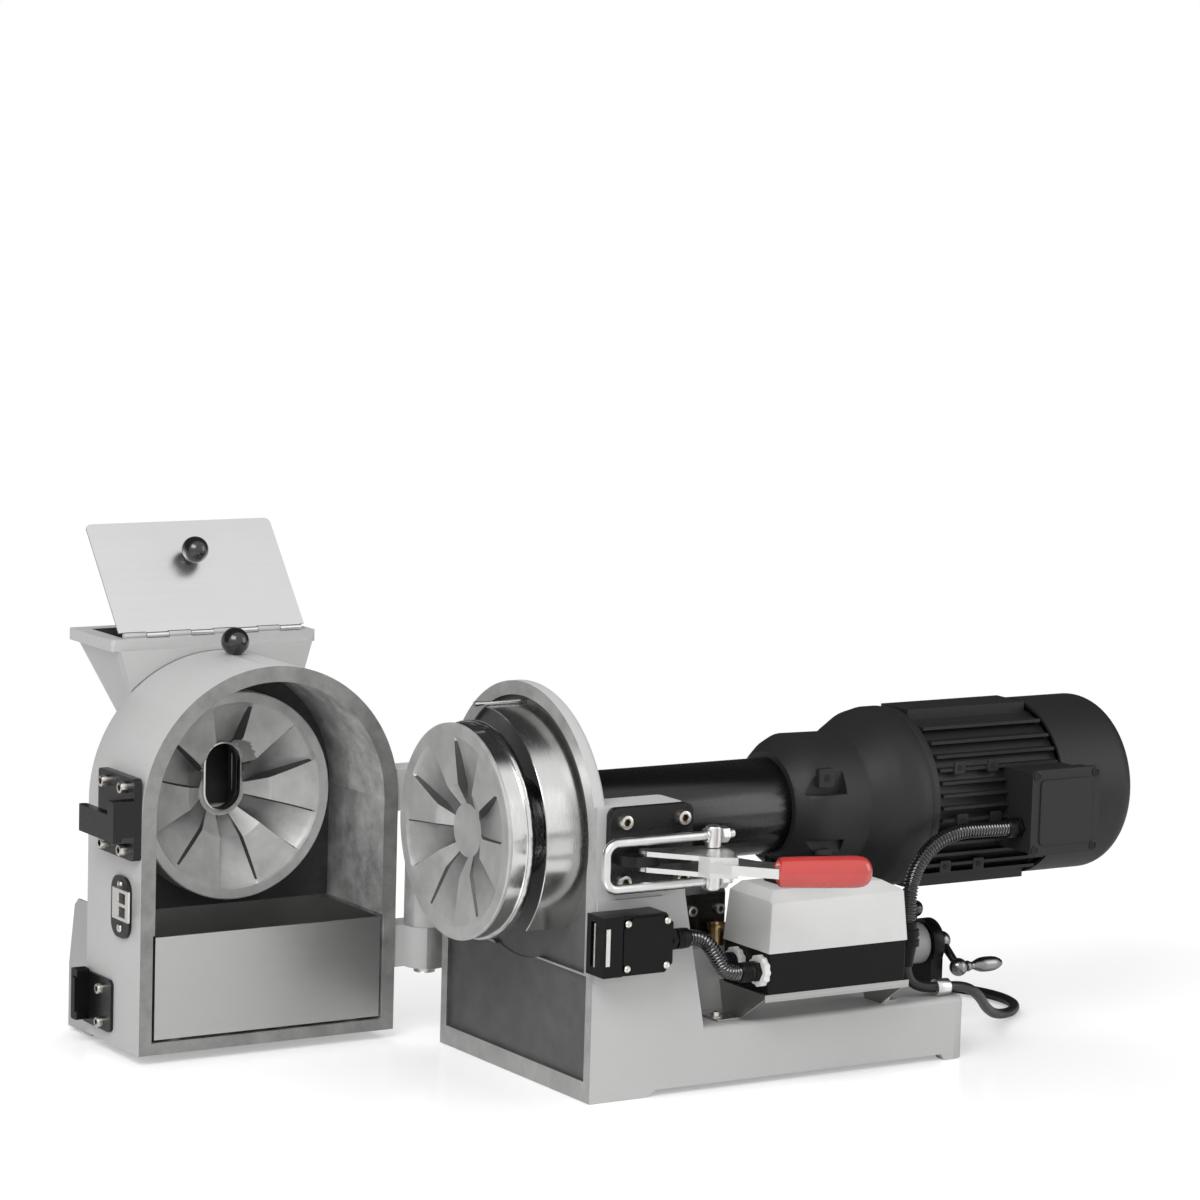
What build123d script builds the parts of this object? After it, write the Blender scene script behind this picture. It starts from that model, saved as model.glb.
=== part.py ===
from build123d import *
import os
from math import acos, cos, degrees, pi, radians, sin, sqrt, tan

# Laboratory disc mill, opened for cleaning.
# The machine is modelled from the mating plane of its two halves: x is 0 there and grows
# towards the motor, y is 0 on the shaft's plane with the clamp at -y and the door hinge at
# +y, and z is 0 on the bench. On export it is moved so that the origin is the middle of the
# four bench bolts. The door is modelled closed, on the -x side of the mating plane, and is
# turned open about its hinge when it is exported.

# ---------------------------------------------------------------- driving sizes
GAP = 0.3  # between faces of pieces that move past each other
RUN = 0.05  # radial clearance of a shaft or pin in its bore

SHAFT_Z = 233.0  # height of the grinding shaft over the bench
HALF_W = 135.0  # half of the housing's width, and the radius of its arched top
NEAR = -HALF_W  # the clamp side of the housing
FAR = HALF_W  # the hinge side
BED_L = 426.0  # length of the bed behind the mating plane
BED_TOP = 60.0
BED_WALL = 12.0
BED_ROOF = 10.0
FOOT_FRONT = 62.6
FOOT_REAR = 26.4
FOOT_RAMP = 9.0
FOOT_RELIEF = 6.0
BED_CORNER_R = 16.0
BED_EDGE_R = 5.0
PLATE_T = 14.0  # arched front plate of the housing
FACE_R = HALF_W - 13.0  # recess in the mating face, round the discs
FACE_DEPTH = 5.0
PANEL_HALF = HALF_W - 11.0
PANEL_Z0 = 18.7
PANEL_Z1 = 116.0
PANEL_DEPTH = 4.0
COLUMN_WALL = 16.0
COLUMN_FOOT_X = 122.0
COLUMN_HEAD_X = 97.0
COLUMN_HEAD_Z = 187.0
CLAMP_BLOCK_X = 92.0
CLAMP_BLOCK_TOP = 272.0
CLAMP_BLOCK_T = 40.0
SADDLE_TOP = 119.0
SADDLE_HALF = 78.0
SADDLE_X = 198.0
TUBE_FOOT_X = (100.0, 194.0)
TUBE_FOOT_HALF = 58.0
TUBE_FOOT_SHOULDER = 166.0
SWITCH_PAD_T = 2.0

BOLT_INSET = 18.0  # from the bed's rear end to the middle of its bolts
BOLT_X = (34.0, BED_L - BOLT_INSET)  # bench bolts, tapped from below
BOLT_Y = HALF_W - 35.0
BOLT_R = 4.25
BOLT_DEPTH = 25.0
BOLT_BOSS_R = 12.0
ORIGIN_X = sum(BOLT_X) / len(BOLT_X)

# door half
DOOR_D = 118.0
DOOR_Z0 = 9.0
DOOR_BACK = 8.0
CHAMBER_R = HALF_W - 15.0
CHAMBER_HALF_LOW = HALF_W - 13.0
SILL_Z = 20.0
LEDGE_Z = 121.0
HINGE_R = 21.0
HINGE_Y = HALF_W + HINGE_R + 12.0
HINGE_PIN_R = 8.0
HINGE_Z = (69.0, 109.0, 221.0, 261.0)  # lower door eye, base eye and upper door eye
HINGE_ARM_T = 34.0
DOOR_OPEN = 90.0

# discs and shaft
DISC_R = FACE_R - 22.0
DISC_T = 20.0
MOVING_DISH = 15.0  # how far the moving disc's hub lies behind its outer ring
MOVING_FACE_X = -70.0
FIXED_FACE_X = -74.0
FIXED_HUB_T = 4.0
CARRIER_T = 7.0
CARRIER_HUB_R = 34.0
CARRIER_HUB_L = 22.0
BAND_R = FACE_R - 7.0
BAND_T = 1.5
BAND_ROD_R = 1.8
BAND_ROD_HEAD_R = 2.4
BAND_X0 = -39.0
BAND_END = 224.0
TUBE_R = 46.0
TUBE_END_X = 284.0
QUILL_R = 38.0
QUILL_X = (-14.0, 250.0)
SHAFT_R = 20.0
BEARING_R = 32.0
BEARING_T = 14.0

# gear train and motor
GEAR_MODULE = 1.5
PINION_TEETH = 19
WHEEL_TEETH = 34
PRESSURE_ANGLE = radians(20)
TOOTH_SHARE = 0.42  # of a pitch, which leaves the backlash
GEAR_FACE = 14.0
OUTPUT_GEAR_X = 370.0
INPUT_GEAR_X = 390.0
GEARBOX_X = 275.0
GEARBOX_END = 410.0
GEARBOX_POCKET_Y = 55.0  # floor of the shallow pockets over the gearbox's bolts
FLANGE_R = 88.0
MOTOR_R = 87.0
FRAME_R = 80.0
FRAME_END = 570.0
COWL_END = 664.0
COWL_T = 3.0
COWL_EDGE_R = 22.0
TERMINAL_X = (501.0, 584.0)
TERMINAL_Y = -124.0
TERMINAL_Z = (187.0, 271.0)
TERMINAL_LID_T = 5.0
STATOR_R = 75.0
ROTOR_R = 44.0
AIR_GAP = 0.5
MOTOR_SHAFT_R = 12.0
MOTOR_BEARING_R = 24.0
LAY_SHAFT_R = 7.0
LAY_BEARING_R = 12.0
LAY_BEARING_T = 8.0
LAY_Y = GEAR_MODULE * (PINION_TEETH + WHEEL_TEETH) / 2
LAY_SHAFT_X = (OUTPUT_GEAR_X - 14, GEARBOX_END + LAY_BEARING_T)
FIN_COUNT = 13
FIN_PITCH = 12.0
FIN_T = 3.0

# clamp
SWITCH_X = (-9.0, 11.0, 66.0)  # the safety switch's head, and its body behind it
SWITCH_Z = (123.0, 178.0)
SWITCH_DEPTH = 32.0
KEY_Y = NEAR - 12.0  # middle of the key's sheet and of the slot it enters
KEY_Z = (136.0, 165.0)
KEY_SHEET = 2.0
KEY_SLOT = 6.0
KEY_X = (-34.0, -1.0)
CLAMP_X = (10.0, 98.0)
CLAMP_Z = (193.0, 272.0)
CLAMP_T = 8.0
CLAMP_SCREWS_X = (22.5, 84.5)
CLAMP_SCREWS_Z = (205.0, 260.0)
LEVER_Z = 226.0
LEVER_PLATE = 4.5  # each of the lever's two pressed plates
TONGUE_T = 9.4
PIVOT = (40.0, NEAR - 23.0)
PIVOT_R = 4.0
TRUNNION = (101.0, NEAR - 37.0)
TRUNNION_R = 7.5
TRUNNION_PIN_R = 3.5
TRUNNION_PIN_L = 6.0
U_BOLT_R = 4.25
U_BOLT_BAR_X = -12.5
U_BOLT_HALF = 21.0
U_BOLT_BEND = 12.0
U_BOLT_TAIL = 22.0
GRIP_START = (118.0, NEAR - 120.0)
GRIP_AXIS = (0.93, -0.36)
GRIP_L = 84.0
GRIP_H = 29.0
GRIP_W = 24.0
GRIP_CORE_L = 68.0
HOOK_X = (-77.0, -1.0)
HOOK_Z = (193.0, 270.0)
HOOK_SCREWS_X = (-60.0, -20.0)
HOOK_SCREWS_Z = (201.5, 260.0)
HOOK_NOSE_Y = (NEAR - 29.0, NEAR - 20.0)
HOOK_NOSE_Z = (212.0, 237.0)
HOOK_WEB_Z = (216.0, 250.0)
HOOK_WEB_T = 13.0

# control box on its bracket, beside the bed
BOX_X = (172.0, 327.0)
BOX_Y = (NEAR - 30.0, NEAR + 45.0)
BOX_Z = (91.0, 129.0, 184.0)
BRACKET_T = 2.0
FLAP_X = (206.0, 262.0)
FLAP_L = 42.0
FLAP_EAR = 4.0
FLAP_PIN_R = 1.5

# drawer
SHEET = 1.5
DRAWER_HALF = CHAMBER_HALF_LOW - 3.0
DRAWER_Z = (23.0, 120.0)
COVER_HALF = HALF_W - 8.0  # the drawer's outer plate and its wings
COVER_Z = (12.0, 130.0)
WING_L = 50.0
WING_Z = (3.0, 64.0, 123.0)
RUNNER_Y = (88.0, 100.0)
HANDLE_R = 6.0

# hopper
HOPPER_TOP = 381.0
HOPPER_HALF = HALF_W - 26.0
HOPPER_DEPTH = 96.0
HOPPER_X = (-DOOR_D - HOPPER_DEPTH - 5.0, -DOOR_D - 5.0)
HOPPER_WALL = 8.0
HOPPER_LOW_Z = 208.0
FLANGE_T = 11.0
LID_T = 1.5
LID_KNUCKLE_R = 2.5
LID_AXIS = (HOPPER_X[1] - 5.0, HOPPER_TOP + LID_KNUCKLE_R + 0.5)
LID_HALF = HOPPER_HALF - 10.0
LID_L = 125.0
LID_OPEN = 51.0
LID_KNUCKLES = 8
LID_KNOB_R = 13.0
LID_KNOB_AT = 83.0  # from the hinge to the knob's stem
LOCK_X = -82.0  # pull-up pin of the fixed disc
LOCK_R = 4.0
LOCK_KNOB_R = 13.5
SLOT_HALF = 18.0
SLOT_Z = (215.0, 279.0)

# cord
CORD_R = 5.0
COIL_R = 55.0  # middle radius of the wound-up rest of the lead
COIL_BAND = 10.0
COIL_H = 24.0
COIL_X = 400.0
PLUG_X = 345.0
CLIP_X = (BED_L - 32.0, BED_L - 17.0)
PLUG_R = 19.0
HOSE_R = 7.5
GLAND_R = 10.0
NUT_R = 15.0
NUT_T = 6.0
SPARE_GLAND = (-114.0, 112.0)



# ---------------------------------------------------------------- shape helpers
def block(x0, x1, y0, y1, z0, z1):
    """A block between two corners."""
    middle = Pos((x0 + x1) / 2, (y0 + y1) / 2, (z0 + z1) / 2)
    return middle * Box(abs(x1 - x0), abs(y1 - y0), abs(z1 - z0))


def rod_x(r, x0, x1, y=0.0, z=SHAFT_Z):
    return Pos((x0 + x1) / 2, y, z) * Rot(0, 90, 0) * Cylinder(r, abs(x1 - x0))


def rod_y(r, y0, y1, x, z):
    return Pos(x, (y0 + y1) / 2, z) * Rot(90, 0, 0) * Cylinder(r, abs(y1 - y0))


def rod_z(r, z0, z1, x, y):
    return Pos(x, y, (z0 + z1) / 2) * Cylinder(r, abs(z1 - z0))


def slab_y(points, y0, y1):
    """A polygon of (x, z) points, as thick as y0 to y1."""
    face = make_face(Polyline(*[(x, 0, z) for x, z in points], close=True))
    return Pos(0, y0, 0) * extrude(face, amount=y1 - y0, dir=(0, 1, 0))


def slab_x(points, x0, x1):
    """A polygon of (y, z) points, as thick as x0 to x1."""
    face = make_face(Polyline(*[(0, y, z) for y, z in points], close=True))
    return Pos(x0, 0, 0) * extrude(face, amount=x1 - x0, dir=(1, 0, 0))


def slab_z(points, z0, z1):
    """A polygon of (x, y) points, as thick as z0 to z1."""
    face = make_face(Polyline(*[(x, y, 0) for x, y in points], close=True))
    return Pos(0, 0, z0) * extrude(face, amount=z1 - z0, dir=(0, 0, 1))


def turned_x(points, y=0.0, z=SHAFT_Z):
    """A profile of (x, radius) points turned about a line along x."""
    face = make_face(Polyline(*[(x, r, 0) for x, r in points], close=True))
    return Pos(0, y, z) * revolve(face, axis=Axis.X)


def turned_z(points, x, y, z=0.0):
    """A profile of (radius, z) points turned about an upright line."""
    face = make_face(Polyline(*[(r, 0, h) for r, h in points], close=True))
    return Pos(x, y, z) * revolve(face, axis=Axis.Z)


def arch(r, x0, x1, z0, half=None):
    """A slab across the machine with a round top about the shaft."""
    half = r if half is None else half
    return block(x0, x1, -half, half, z0, SHAFT_Z) + rod_x(r, x0, x1)


def upright_edges(part, x0, x1, y0, y1):
    """Edges along z inside a rectangle seen from above."""
    found = part.edges().filter_by(Axis.Z)
    return [e for e in found if x0 < e.center().X < x1 and y0 < e.center().Y < y1]


def socket_screw_y(x, z, y, head_r, head_l, hex_r, direction=-1):
    """The head of a socket screw standing on a face that looks along y."""
    head = rod_y(head_r, y, y + direction * head_l, x, z)
    hexagon = Pos(x, y + direction * head_l, z) * Rot(90, 0, 0) * extrude(
        RegularPolygon(hex_r, 6), amount=head_l * 0.6, both=True
    )
    return head - hexagon


def placed(node, part, door=False):
    """Write a node, turned open with the door if it hangs there."""
    if door:
        swing = Pos(0, HINGE_Y, 0) * Rot(0, 0, -DOOR_OPEN) * Pos(0, -HINGE_Y, 0)
        part = swing * part
    export_step(Pos(-ORIGIN_X, 0, 0) * part, f"parts/{node}.step")


# ---------------------------------------------------------------- base half
def base_casting():
    bed = block(0, BED_L, NEAR, FAR, 0, BED_TOP)
    bed = fillet(upright_edges(bed, BED_L - 1, BED_L + 1, NEAR - 1, FAR + 1), BED_CORNER_R)
    top = bed.faces().sort_by(Axis.Z)[-1]
    bed = fillet([e for e in top.edges() if e.center().X > 1], BED_EDGE_R)
    bed -= block(
        PLATE_T, BED_L - BED_WALL, NEAR + BED_WALL, FAR - BED_WALL, -1, BED_TOP - BED_ROOF
    )
    relief_end = BED_L - FOOT_REAR
    relief = [
        (FOOT_FRONT, -1),
        (FOOT_FRONT, 0),
        (FOOT_FRONT + FOOT_RAMP, FOOT_RELIEF),
        (relief_end - FOOT_RAMP / 2, FOOT_RELIEF),
        (relief_end, 0),
        (relief_end, -1),
    ]
    bed -= slab_y(relief, NEAR - 1, FAR + 1)
    house = arch(HALF_W, 0, PLATE_T, 0)
    rim = house.faces().sort_by(Axis.X)[-1]
    house = fillet([e for e in rim.edges() if e.center().Z > SHAFT_Z], BED_EDGE_R)
    side = [
        (0, BED_TOP - BED_ROOF),
        (COLUMN_FOOT_X, BED_TOP - BED_ROOF),
        (COLUMN_FOOT_X, BED_TOP),
        (COLUMN_HEAD_X, COLUMN_HEAD_Z),
        (COLUMN_HEAD_X, SHAFT_Z),
        (0, SHAFT_Z),
    ]
    walls = slab_y(side, NEAR, NEAR + COLUMN_WALL) + slab_y(side, FAR - COLUMN_WALL, FAR)
    pad = block(
        0, CLAMP_BLOCK_X, NEAR, NEAR + CLAMP_BLOCK_T, COLUMN_HEAD_Z, CLAMP_BLOCK_TOP
    )
    pad_top = pad.edges().filter_by(Axis.Z).sort_by(Axis.X)[-2:]
    pad = fillet(pad_top, BED_EDGE_R)
    saddle = block(0, SADDLE_X, -SADDLE_HALF, SADDLE_HALF, BED_TOP - BED_ROOF, SADDLE_TOP)
    rib = block(0, COLUMN_HEAD_X, -TUBE_R, TUBE_R, SADDLE_TOP - 1, SHAFT_Z)
    switch_pad = block(2, 72, NEAR - SWITCH_PAD_T, NEAR, 110.5, COLUMN_HEAD_Z)
    part = bed + house + walls + pad + saddle + rib + switch_pad
    for x in BOLT_X:
        for y in (-BOLT_Y, BOLT_Y):
            part += rod_z(BOLT_BOSS_R, 0, BED_TOP - BED_ROOF, x, y)
    part += base_hinge_eye()
    part -= rod_x(FACE_R, -1, FACE_DEPTH)
    part -= block(-1, FACE_DEPTH, -FACE_R + 2, FACE_R - 2, PANEL_Z1 + 2, SHAFT_Z)
    part -= block(-1, PANEL_DEPTH, -PANEL_HALF, PANEL_HALF, PANEL_Z0, PANEL_Z1)
    part -= rod_x(TUBE_R, -1, COLUMN_HEAD_X + 1)
    part -= block(
        PLATE_T, SADDLE_X - BED_WALL, -TUBE_R - 8, TUBE_R + 8, -1, SADDLE_TOP - BED_ROOF
    )
    for x in BOLT_X:
        for y in (-BOLT_Y, BOLT_Y):
            part -= rod_z(BOLT_R, -1, BOLT_DEPTH, x, y)
    part -= rod_z(HINGE_PIN_R, HINGE_Z[0], HINGE_Z[3], 0, HINGE_Y)
    part -= rod_x(BAND_ROD_R, -1, FACE_DEPTH + 4, 0, band_rod_z())
    return part


def base_hinge_eye():
    """The long middle eye that the door hangs on, and its arm."""
    low, high = HINGE_Z[1] + GAP, HINGE_Z[2] - GAP
    arm = block(2, HINGE_ARM_T, FAR - COLUMN_WALL, HINGE_Y, low, high)
    return arm + rod_z(HINGE_R, low, high, 0, HINGE_Y)


def hinge_pin():
    """Shouldered bolt from below through all three eyes."""
    head_r = HINGE_PIN_R + 2.5
    head = rod_z(head_r, HINGE_Z[0] - 6, HINGE_Z[0] - GAP, 0, HINGE_Y)
    return head + rod_z(HINGE_PIN_R, HINGE_Z[0] - GAP, HINGE_Z[3] - 2, 0, HINGE_Y)


def guide_band():
    """Stainless sheet bent round the discs, from the top down the clamp side."""
    ring = rod_x(BAND_R, BAND_X0, FACE_DEPTH) - rod_x(BAND_R - BAND_T, BAND_X0 - 1, FACE_DEPTH + 1)
    reach = 2 * BAND_R
    steps = 6
    angles = [90 + (BAND_END - 90) * i / steps for i in range(steps + 1)]
    fan = [(0, SHAFT_Z)]
    for a in angles:
        fan.append((reach * cos(radians(a)), SHAFT_Z + reach * sin(radians(a))))
    return ring & slab_x(fan, BAND_X0 - 1, FACE_DEPTH + 1)


def band_rod_z():
    """The rod lies on the outside of the band."""
    return SHAFT_Z + BAND_R + BAND_ROD_R + 0.2


def band_rod():
    """Locating rod at the top end of the band, with a round head."""
    z = band_rod_z()
    rod = rod_x(BAND_ROD_R, BAND_X0 - 8, FACE_DEPTH + 4, 0, z)
    return rod + rod_x(BAND_ROD_HEAD_R, BAND_X0 - 12, BAND_X0 - 8, 0, z)


def shaft_tube():
    """Tube that guides the quill, with a foot that stands on the saddle."""
    half, shoulder = TUBE_FOOT_HALF, TUBE_FOOT_SHOULDER
    outline = [(-half, SADDLE_TOP), (-half, shoulder), (-38, SHAFT_Z - 24), (38, SHAFT_Z - 24)]
    outline += [(half, shoulder), (half, SADDLE_TOP)]
    foot = slab_x(outline, *TUBE_FOOT_X)
    part = rod_x(TUBE_R, FACE_DEPTH, TUBE_END_X) + foot
    return part - rod_x(QUILL_R + RUN, 0, TUBE_END_X + 1)


def brass_cap():
    """Lubricator cap in its seat on the saddle."""
    x, y = 179, -68
    outer = turned_z([(0, 0), (9, 0), (9, 15), (10, 15), (10, 20), (0, 20)], x, y, SADDLE_TOP)
    return outer - rod_z(7, SADDLE_TOP + 12, SADDLE_TOP + 21, x, y)


# ---------------------------------------------------------------- quill and rotor
def quill_sleeve():
    x0, x1 = QUILL_X
    sleeve = rod_x(QUILL_R, x0, x1) - rod_x(SHAFT_R + 3, x0 - 1, x1 + 1)
    for start in (x0, x1 - BEARING_T):
        sleeve -= rod_x(BEARING_R, start - 1 * (start == x0), start + BEARING_T + 1)
    return sleeve


def ring_bearing(r_out, r_in, x0, width, y=0.0, z=SHAFT_Z):
    return rod_x(r_out, x0, x0 + width, y, z) - rod_x(r_in, x0 - 1, x0 + width + 1, y, z)


def shaft_bearings():
    x0, x1 = QUILL_X
    front = ring_bearing(BEARING_R, SHAFT_R + RUN, x0, BEARING_T)
    rear = ring_bearing(BEARING_R, SHAFT_R + RUN, x1 - BEARING_T + 1, BEARING_T - 1)
    return Compound([front, rear])


def drive_shaft():
    end = OUTPUT_GEAR_X + GEAR_FACE + 2
    shoulder = rod_x(SHAFT_R, MOVING_FACE_X + DISC_T + 2, end - 2)
    return shoulder + rod_x(SHAFT_R - 4, end - 2, end)


def disc_carrier():
    """Polished plate that the moving disc screws to."""
    x0 = MOVING_FACE_X + DISC_T
    x1 = x0 + CARRIER_T
    profile = [
        (x0, 0),
        (x0, DISC_R + 1),
        (x1, DISC_R + 1),
        (x1, CARRIER_HUB_R),
        (x1 + CARRIER_HUB_L, CARRIER_HUB_R),
        (x1 + CARRIER_HUB_L, 0),
    ]
    return turned_x(profile) - rod_x(SHAFT_R, x0 + 2, x1 + CARRIER_HUB_L + 1)


def disc_flute(angle, start, end, depth, half, inward):
    """One tapered flute between two (x, radius) ends: deep at the start, gone at the end."""
    (x0, r0), (x1, r1) = start, end
    cut = inward * depth
    side = [(x0 + cut, r0), (x0 - cut, r0), (x1 - cut, r1), (x1, r1)]
    wide = extrude(make_face(Polyline(*[(x, 0, r) for x, r in side], close=True)), amount=half, both=True)
    tip = 1.0
    fan = [(0, -half, r0), (0, half, r0), (0, tip, r1), (0, -tip, r1)]
    wedge = extrude(make_face(Polyline(*fan, close=True)), amount=2 * DOOR_D, dir=(1, 0, 0), both=True)
    return Pos(0, 0, SHAFT_Z) * Rot(angle, 0, 0) * (wide & wedge)


def moving_disc():
    """Cast grinding disc, dished, with eight tapered flutes round a flat hub."""
    face = MOVING_FACE_X
    back = face + DISC_T
    hub_r, ring_r = 0.26 * DISC_R, 0.86 * DISC_R
    profile = [
        (face + MOVING_DISH, 0),
        (face + MOVING_DISH, hub_r),
        (face, ring_r),
        (face, DISC_R - 1),
        (face + 1, DISC_R),
        (back, DISC_R),
        (back, 0),
    ]
    part = turned_x(profile)
    for i in range(8):
        start = (face + MOVING_DISH - 3, hub_r + 4)
        part -= disc_flute(i * 45 + 8, start, (face, ring_r), 4, 11, 1)
    return part


def tooth_half_angle(r, pitch_r):
    """Half of a tooth's angle at radius r, from the involute through its flank."""
    base_r = pitch_r * cos(PRESSURE_ANGLE)
    at_pitch = TOOTH_SHARE * pi * GEAR_MODULE / pitch_r / 2
    slope = acos(min(1, base_r / r))
    return at_pitch + tan(PRESSURE_ANGLE) - PRESSURE_ANGLE - (tan(slope) - slope)


def spur_gear(teeth, x0, y, phase, bore):
    """A spur gear with its first tooth at the angle phase, in degrees."""
    pitch_r = GEAR_MODULE * teeth / 2
    root_r = pitch_r - 1.2 * GEAR_MODULE
    tip_r = pitch_r + 0.95 * GEAR_MODULE
    flank = [root_r, pitch_r - 0.5 * GEAR_MODULE, pitch_r, pitch_r + 0.5 * GEAR_MODULE, tip_r]
    points = []
    for i in range(teeth):
        middle = radians(phase) + 2 * pi * i / teeth
        sides = [(r, -tooth_half_angle(r, pitch_r)) for r in flank]
        sides += [(r, tooth_half_angle(r, pitch_r)) for r in reversed(flank)]
        for r, turn in sides:
            points.append((y + r * cos(middle + turn), SHAFT_Z + r * sin(middle + turn)))
    gear = slab_x(points, x0, x0 + GEAR_FACE)
    return gear - rod_x(bore, x0 - 1, x0 + GEAR_FACE + 1, y) if bore else gear


def output_gear():
    return spur_gear(WHEEL_TEETH, OUTPUT_GEAR_X, 0, 0, SHAFT_R)


def layshaft_gears():
    """Intermediate shaft with its wheel and pinion in one piece."""
    shaft = rod_x(LAY_SHAFT_R, *LAY_SHAFT_X, LAY_Y)
    pinion = spur_gear(PINION_TEETH, OUTPUT_GEAR_X, LAY_Y, 180 + 180 / PINION_TEETH, 0)
    wheel = spur_gear(WHEEL_TEETH, INPUT_GEAR_X, LAY_Y, 180 + 180 / WHEEL_TEETH, 0)
    return shaft + pinion + wheel


def motor_core_x():
    """Where the motor's laminated cores start and end."""
    return GEARBOX_END + 24, FRAME_END - 30


def motor_rotor():
    """Motor shaft with its core, and with the input pinion cut on its end."""
    pinion = spur_gear(PINION_TEETH, INPUT_GEAR_X, 0, 0, 0)
    shaft = rod_x(MOTOR_SHAFT_R, INPUT_GEAR_X + GEAR_FACE, FRAME_END + 62)
    return pinion + shaft + rod_x(ROTOR_R, *motor_core_x())


def stator_core():
    x0, x1 = motor_core_x()
    return rod_x(STATOR_R, x0, x1) - rod_x(ROTOR_R + AIR_GAP, x0 - 1, x1 + 1)


def motor_bearings():
    """The motor's two bearings and the intermediate shaft's two."""
    bore = MOTOR_SHAFT_R + RUN
    lay_bore = LAY_SHAFT_R + RUN
    x0, x1 = LAY_SHAFT_X
    return Compound(
        [
            ring_bearing(MOTOR_BEARING_R, bore, GEARBOX_END, 10),
            ring_bearing(MOTOR_BEARING_R, bore, FRAME_END - 14, 10),
            ring_bearing(LAY_BEARING_R, lay_bore, x0, LAY_BEARING_T, LAY_Y),
            ring_bearing(LAY_BEARING_R, lay_bore, x1 - LAY_BEARING_T, LAY_BEARING_T, LAY_Y),
        ]
    )


def cooling_fan():
    x0 = FRAME_END + 30
    hub = rod_x(24, x0, x0 + 24)
    for i in range(7):
        blade = block(x0 + 4, x0 + 24, -1.5, 1.5, 20, MOTOR_R - 12)
        hub += Pos(0, 0, SHAFT_Z) * Rot(i * 360 / 7, 0, 0) * blade
    hub += rod_x(MOTOR_R - 14, x0, x0 + 4)
    return hub - rod_x(MOTOR_SHAFT_R, x0 - 1, x0 + 25)


# ---------------------------------------------------------------- gearbox and motor shells
def gearbox_housing():
    x = GEARBOX_X
    neck_r = TUBE_R + 22
    nose = [(x, 0), (x, TUBE_R + 6), (x + 7, TUBE_R + 12), (x + 15, TUBE_R + 18), (x + 24, neck_r)]
    bell = [(x + 78, neck_r - 1), (x + 92, neck_r + 8), (x + 108, FLANGE_R - 3), (x + 122, FLANGE_R)]
    cavity = [
        (x + 14, 0),
        (x + 14, TUBE_R + 4),
        (x + 84, TUBE_R + 10),
        (x + 104, FLANGE_R - 10),
        (GEARBOX_END + 1, FLANGE_R - 10),
        (GEARBOX_END + 1, 0),
    ]
    part = turned_x([*nose, *bell, (GEARBOX_END, FLANGE_R), (GEARBOX_END, 0)])
    for side in (-1, 1):
        for low, high in ((18, 50), (-62, -26)):
            y0, y1 = sorted((side * GEARBOX_POCKET_Y, side * FLANGE_R))
            part -= block(x + 8, x + 50, y0, y1, SHAFT_Z + low, SHAFT_Z + high)
    part -= turned_x(cavity)
    low = LAY_SHAFT_X[0]
    high = low + LAY_BEARING_T
    web = rod_x(LAY_BEARING_R + 6, low, high, LAY_Y)
    web += block(low, high, LAY_Y, neck_r - 2, SHAFT_Z - 12, SHAFT_Z + 12)
    web -= rod_x(LAY_BEARING_R, low - 1, high + 1, LAY_Y)
    web -= rod_x(SHAFT_R + 2, low - 1, high + 1)
    part += web
    part -= rod_x(TUBE_R, x - 1, TUBE_END_X)
    return part - rod_x(QUILL_R + 4, x - 1, x + 20)


def motor_frame():
    """Finned motor body with end walls that hold the bearings."""
    x0, x1 = GEARBOX_END, FRAME_END
    part = rod_x(FRAME_R, x0, x1)
    fin_x0, fin_x1 = x0 + 14, x1 - 4
    for i in range(FIN_COUNT):
        z = (i - (FIN_COUNT - 1) / 2) * FIN_PITCH
        if abs(z) < MOTOR_R - FIN_PITCH / 2:
            half = sqrt(MOTOR_R**2 - z**2)
            fin = block(fin_x0, fin_x1, -half, half, z - FIN_T / 2, z + FIN_T / 2)
            part += Pos(0, 0, SHAFT_Z) * fin
    part += rod_x(MOTOR_R, x0, x0 + 10)
    for top, half in ((MOTOR_R, 22), (-MOTOR_R, 30)):
        low, high = sorted((SHAFT_Z + top, SHAFT_Z + 0.7 * top))
        part += block(fin_x0, fin_x1, -half, half, low, high)
    core0, core1 = motor_core_x()
    part -= rod_x(STATOR_R, core0 - 12, core1 + 12)
    part -= rod_x(MOTOR_BEARING_R, x0 - 1, x0 + 10)
    part -= rod_x(MOTOR_BEARING_R, x1 - 14, x1 - 4)
    part -= rod_x(LAY_BEARING_R, x0 - 1, LAY_SHAFT_X[1], LAY_Y)
    return part - rod_x(MOTOR_SHAFT_R + 2, x0 - 1, x1 + 1)


def fan_cowl():
    x0 = FRAME_END
    shell = rod_x(MOTOR_R, x0, COWL_END)
    rear = shell.faces().sort_by(Axis.X)[-1]
    shell = fillet(rear.edges(), COWL_EDGE_R)
    inner_end = COWL_END - COWL_EDGE_R
    shell -= rod_x(MOTOR_R - COWL_T, x0 - 1, inner_end)
    shell -= rod_x(MOTOR_R - COWL_EDGE_R, inner_end - 1, COWL_END - COWL_T)
    slot_half = 4
    reach = MOTOR_R - COWL_EDGE_R - COWL_T
    for i in range(-5, 6):
        z = i * FIN_PITCH
        if abs(z) < reach - slot_half:
            half = sqrt(reach**2 - z**2)
            slot = block(COWL_END - COWL_T - 1, COWL_END + 1, -half, half, z - slot_half, z + slot_half)
            shell -= Pos(0, 0, SHAFT_Z) * slot
    return shell


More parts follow.
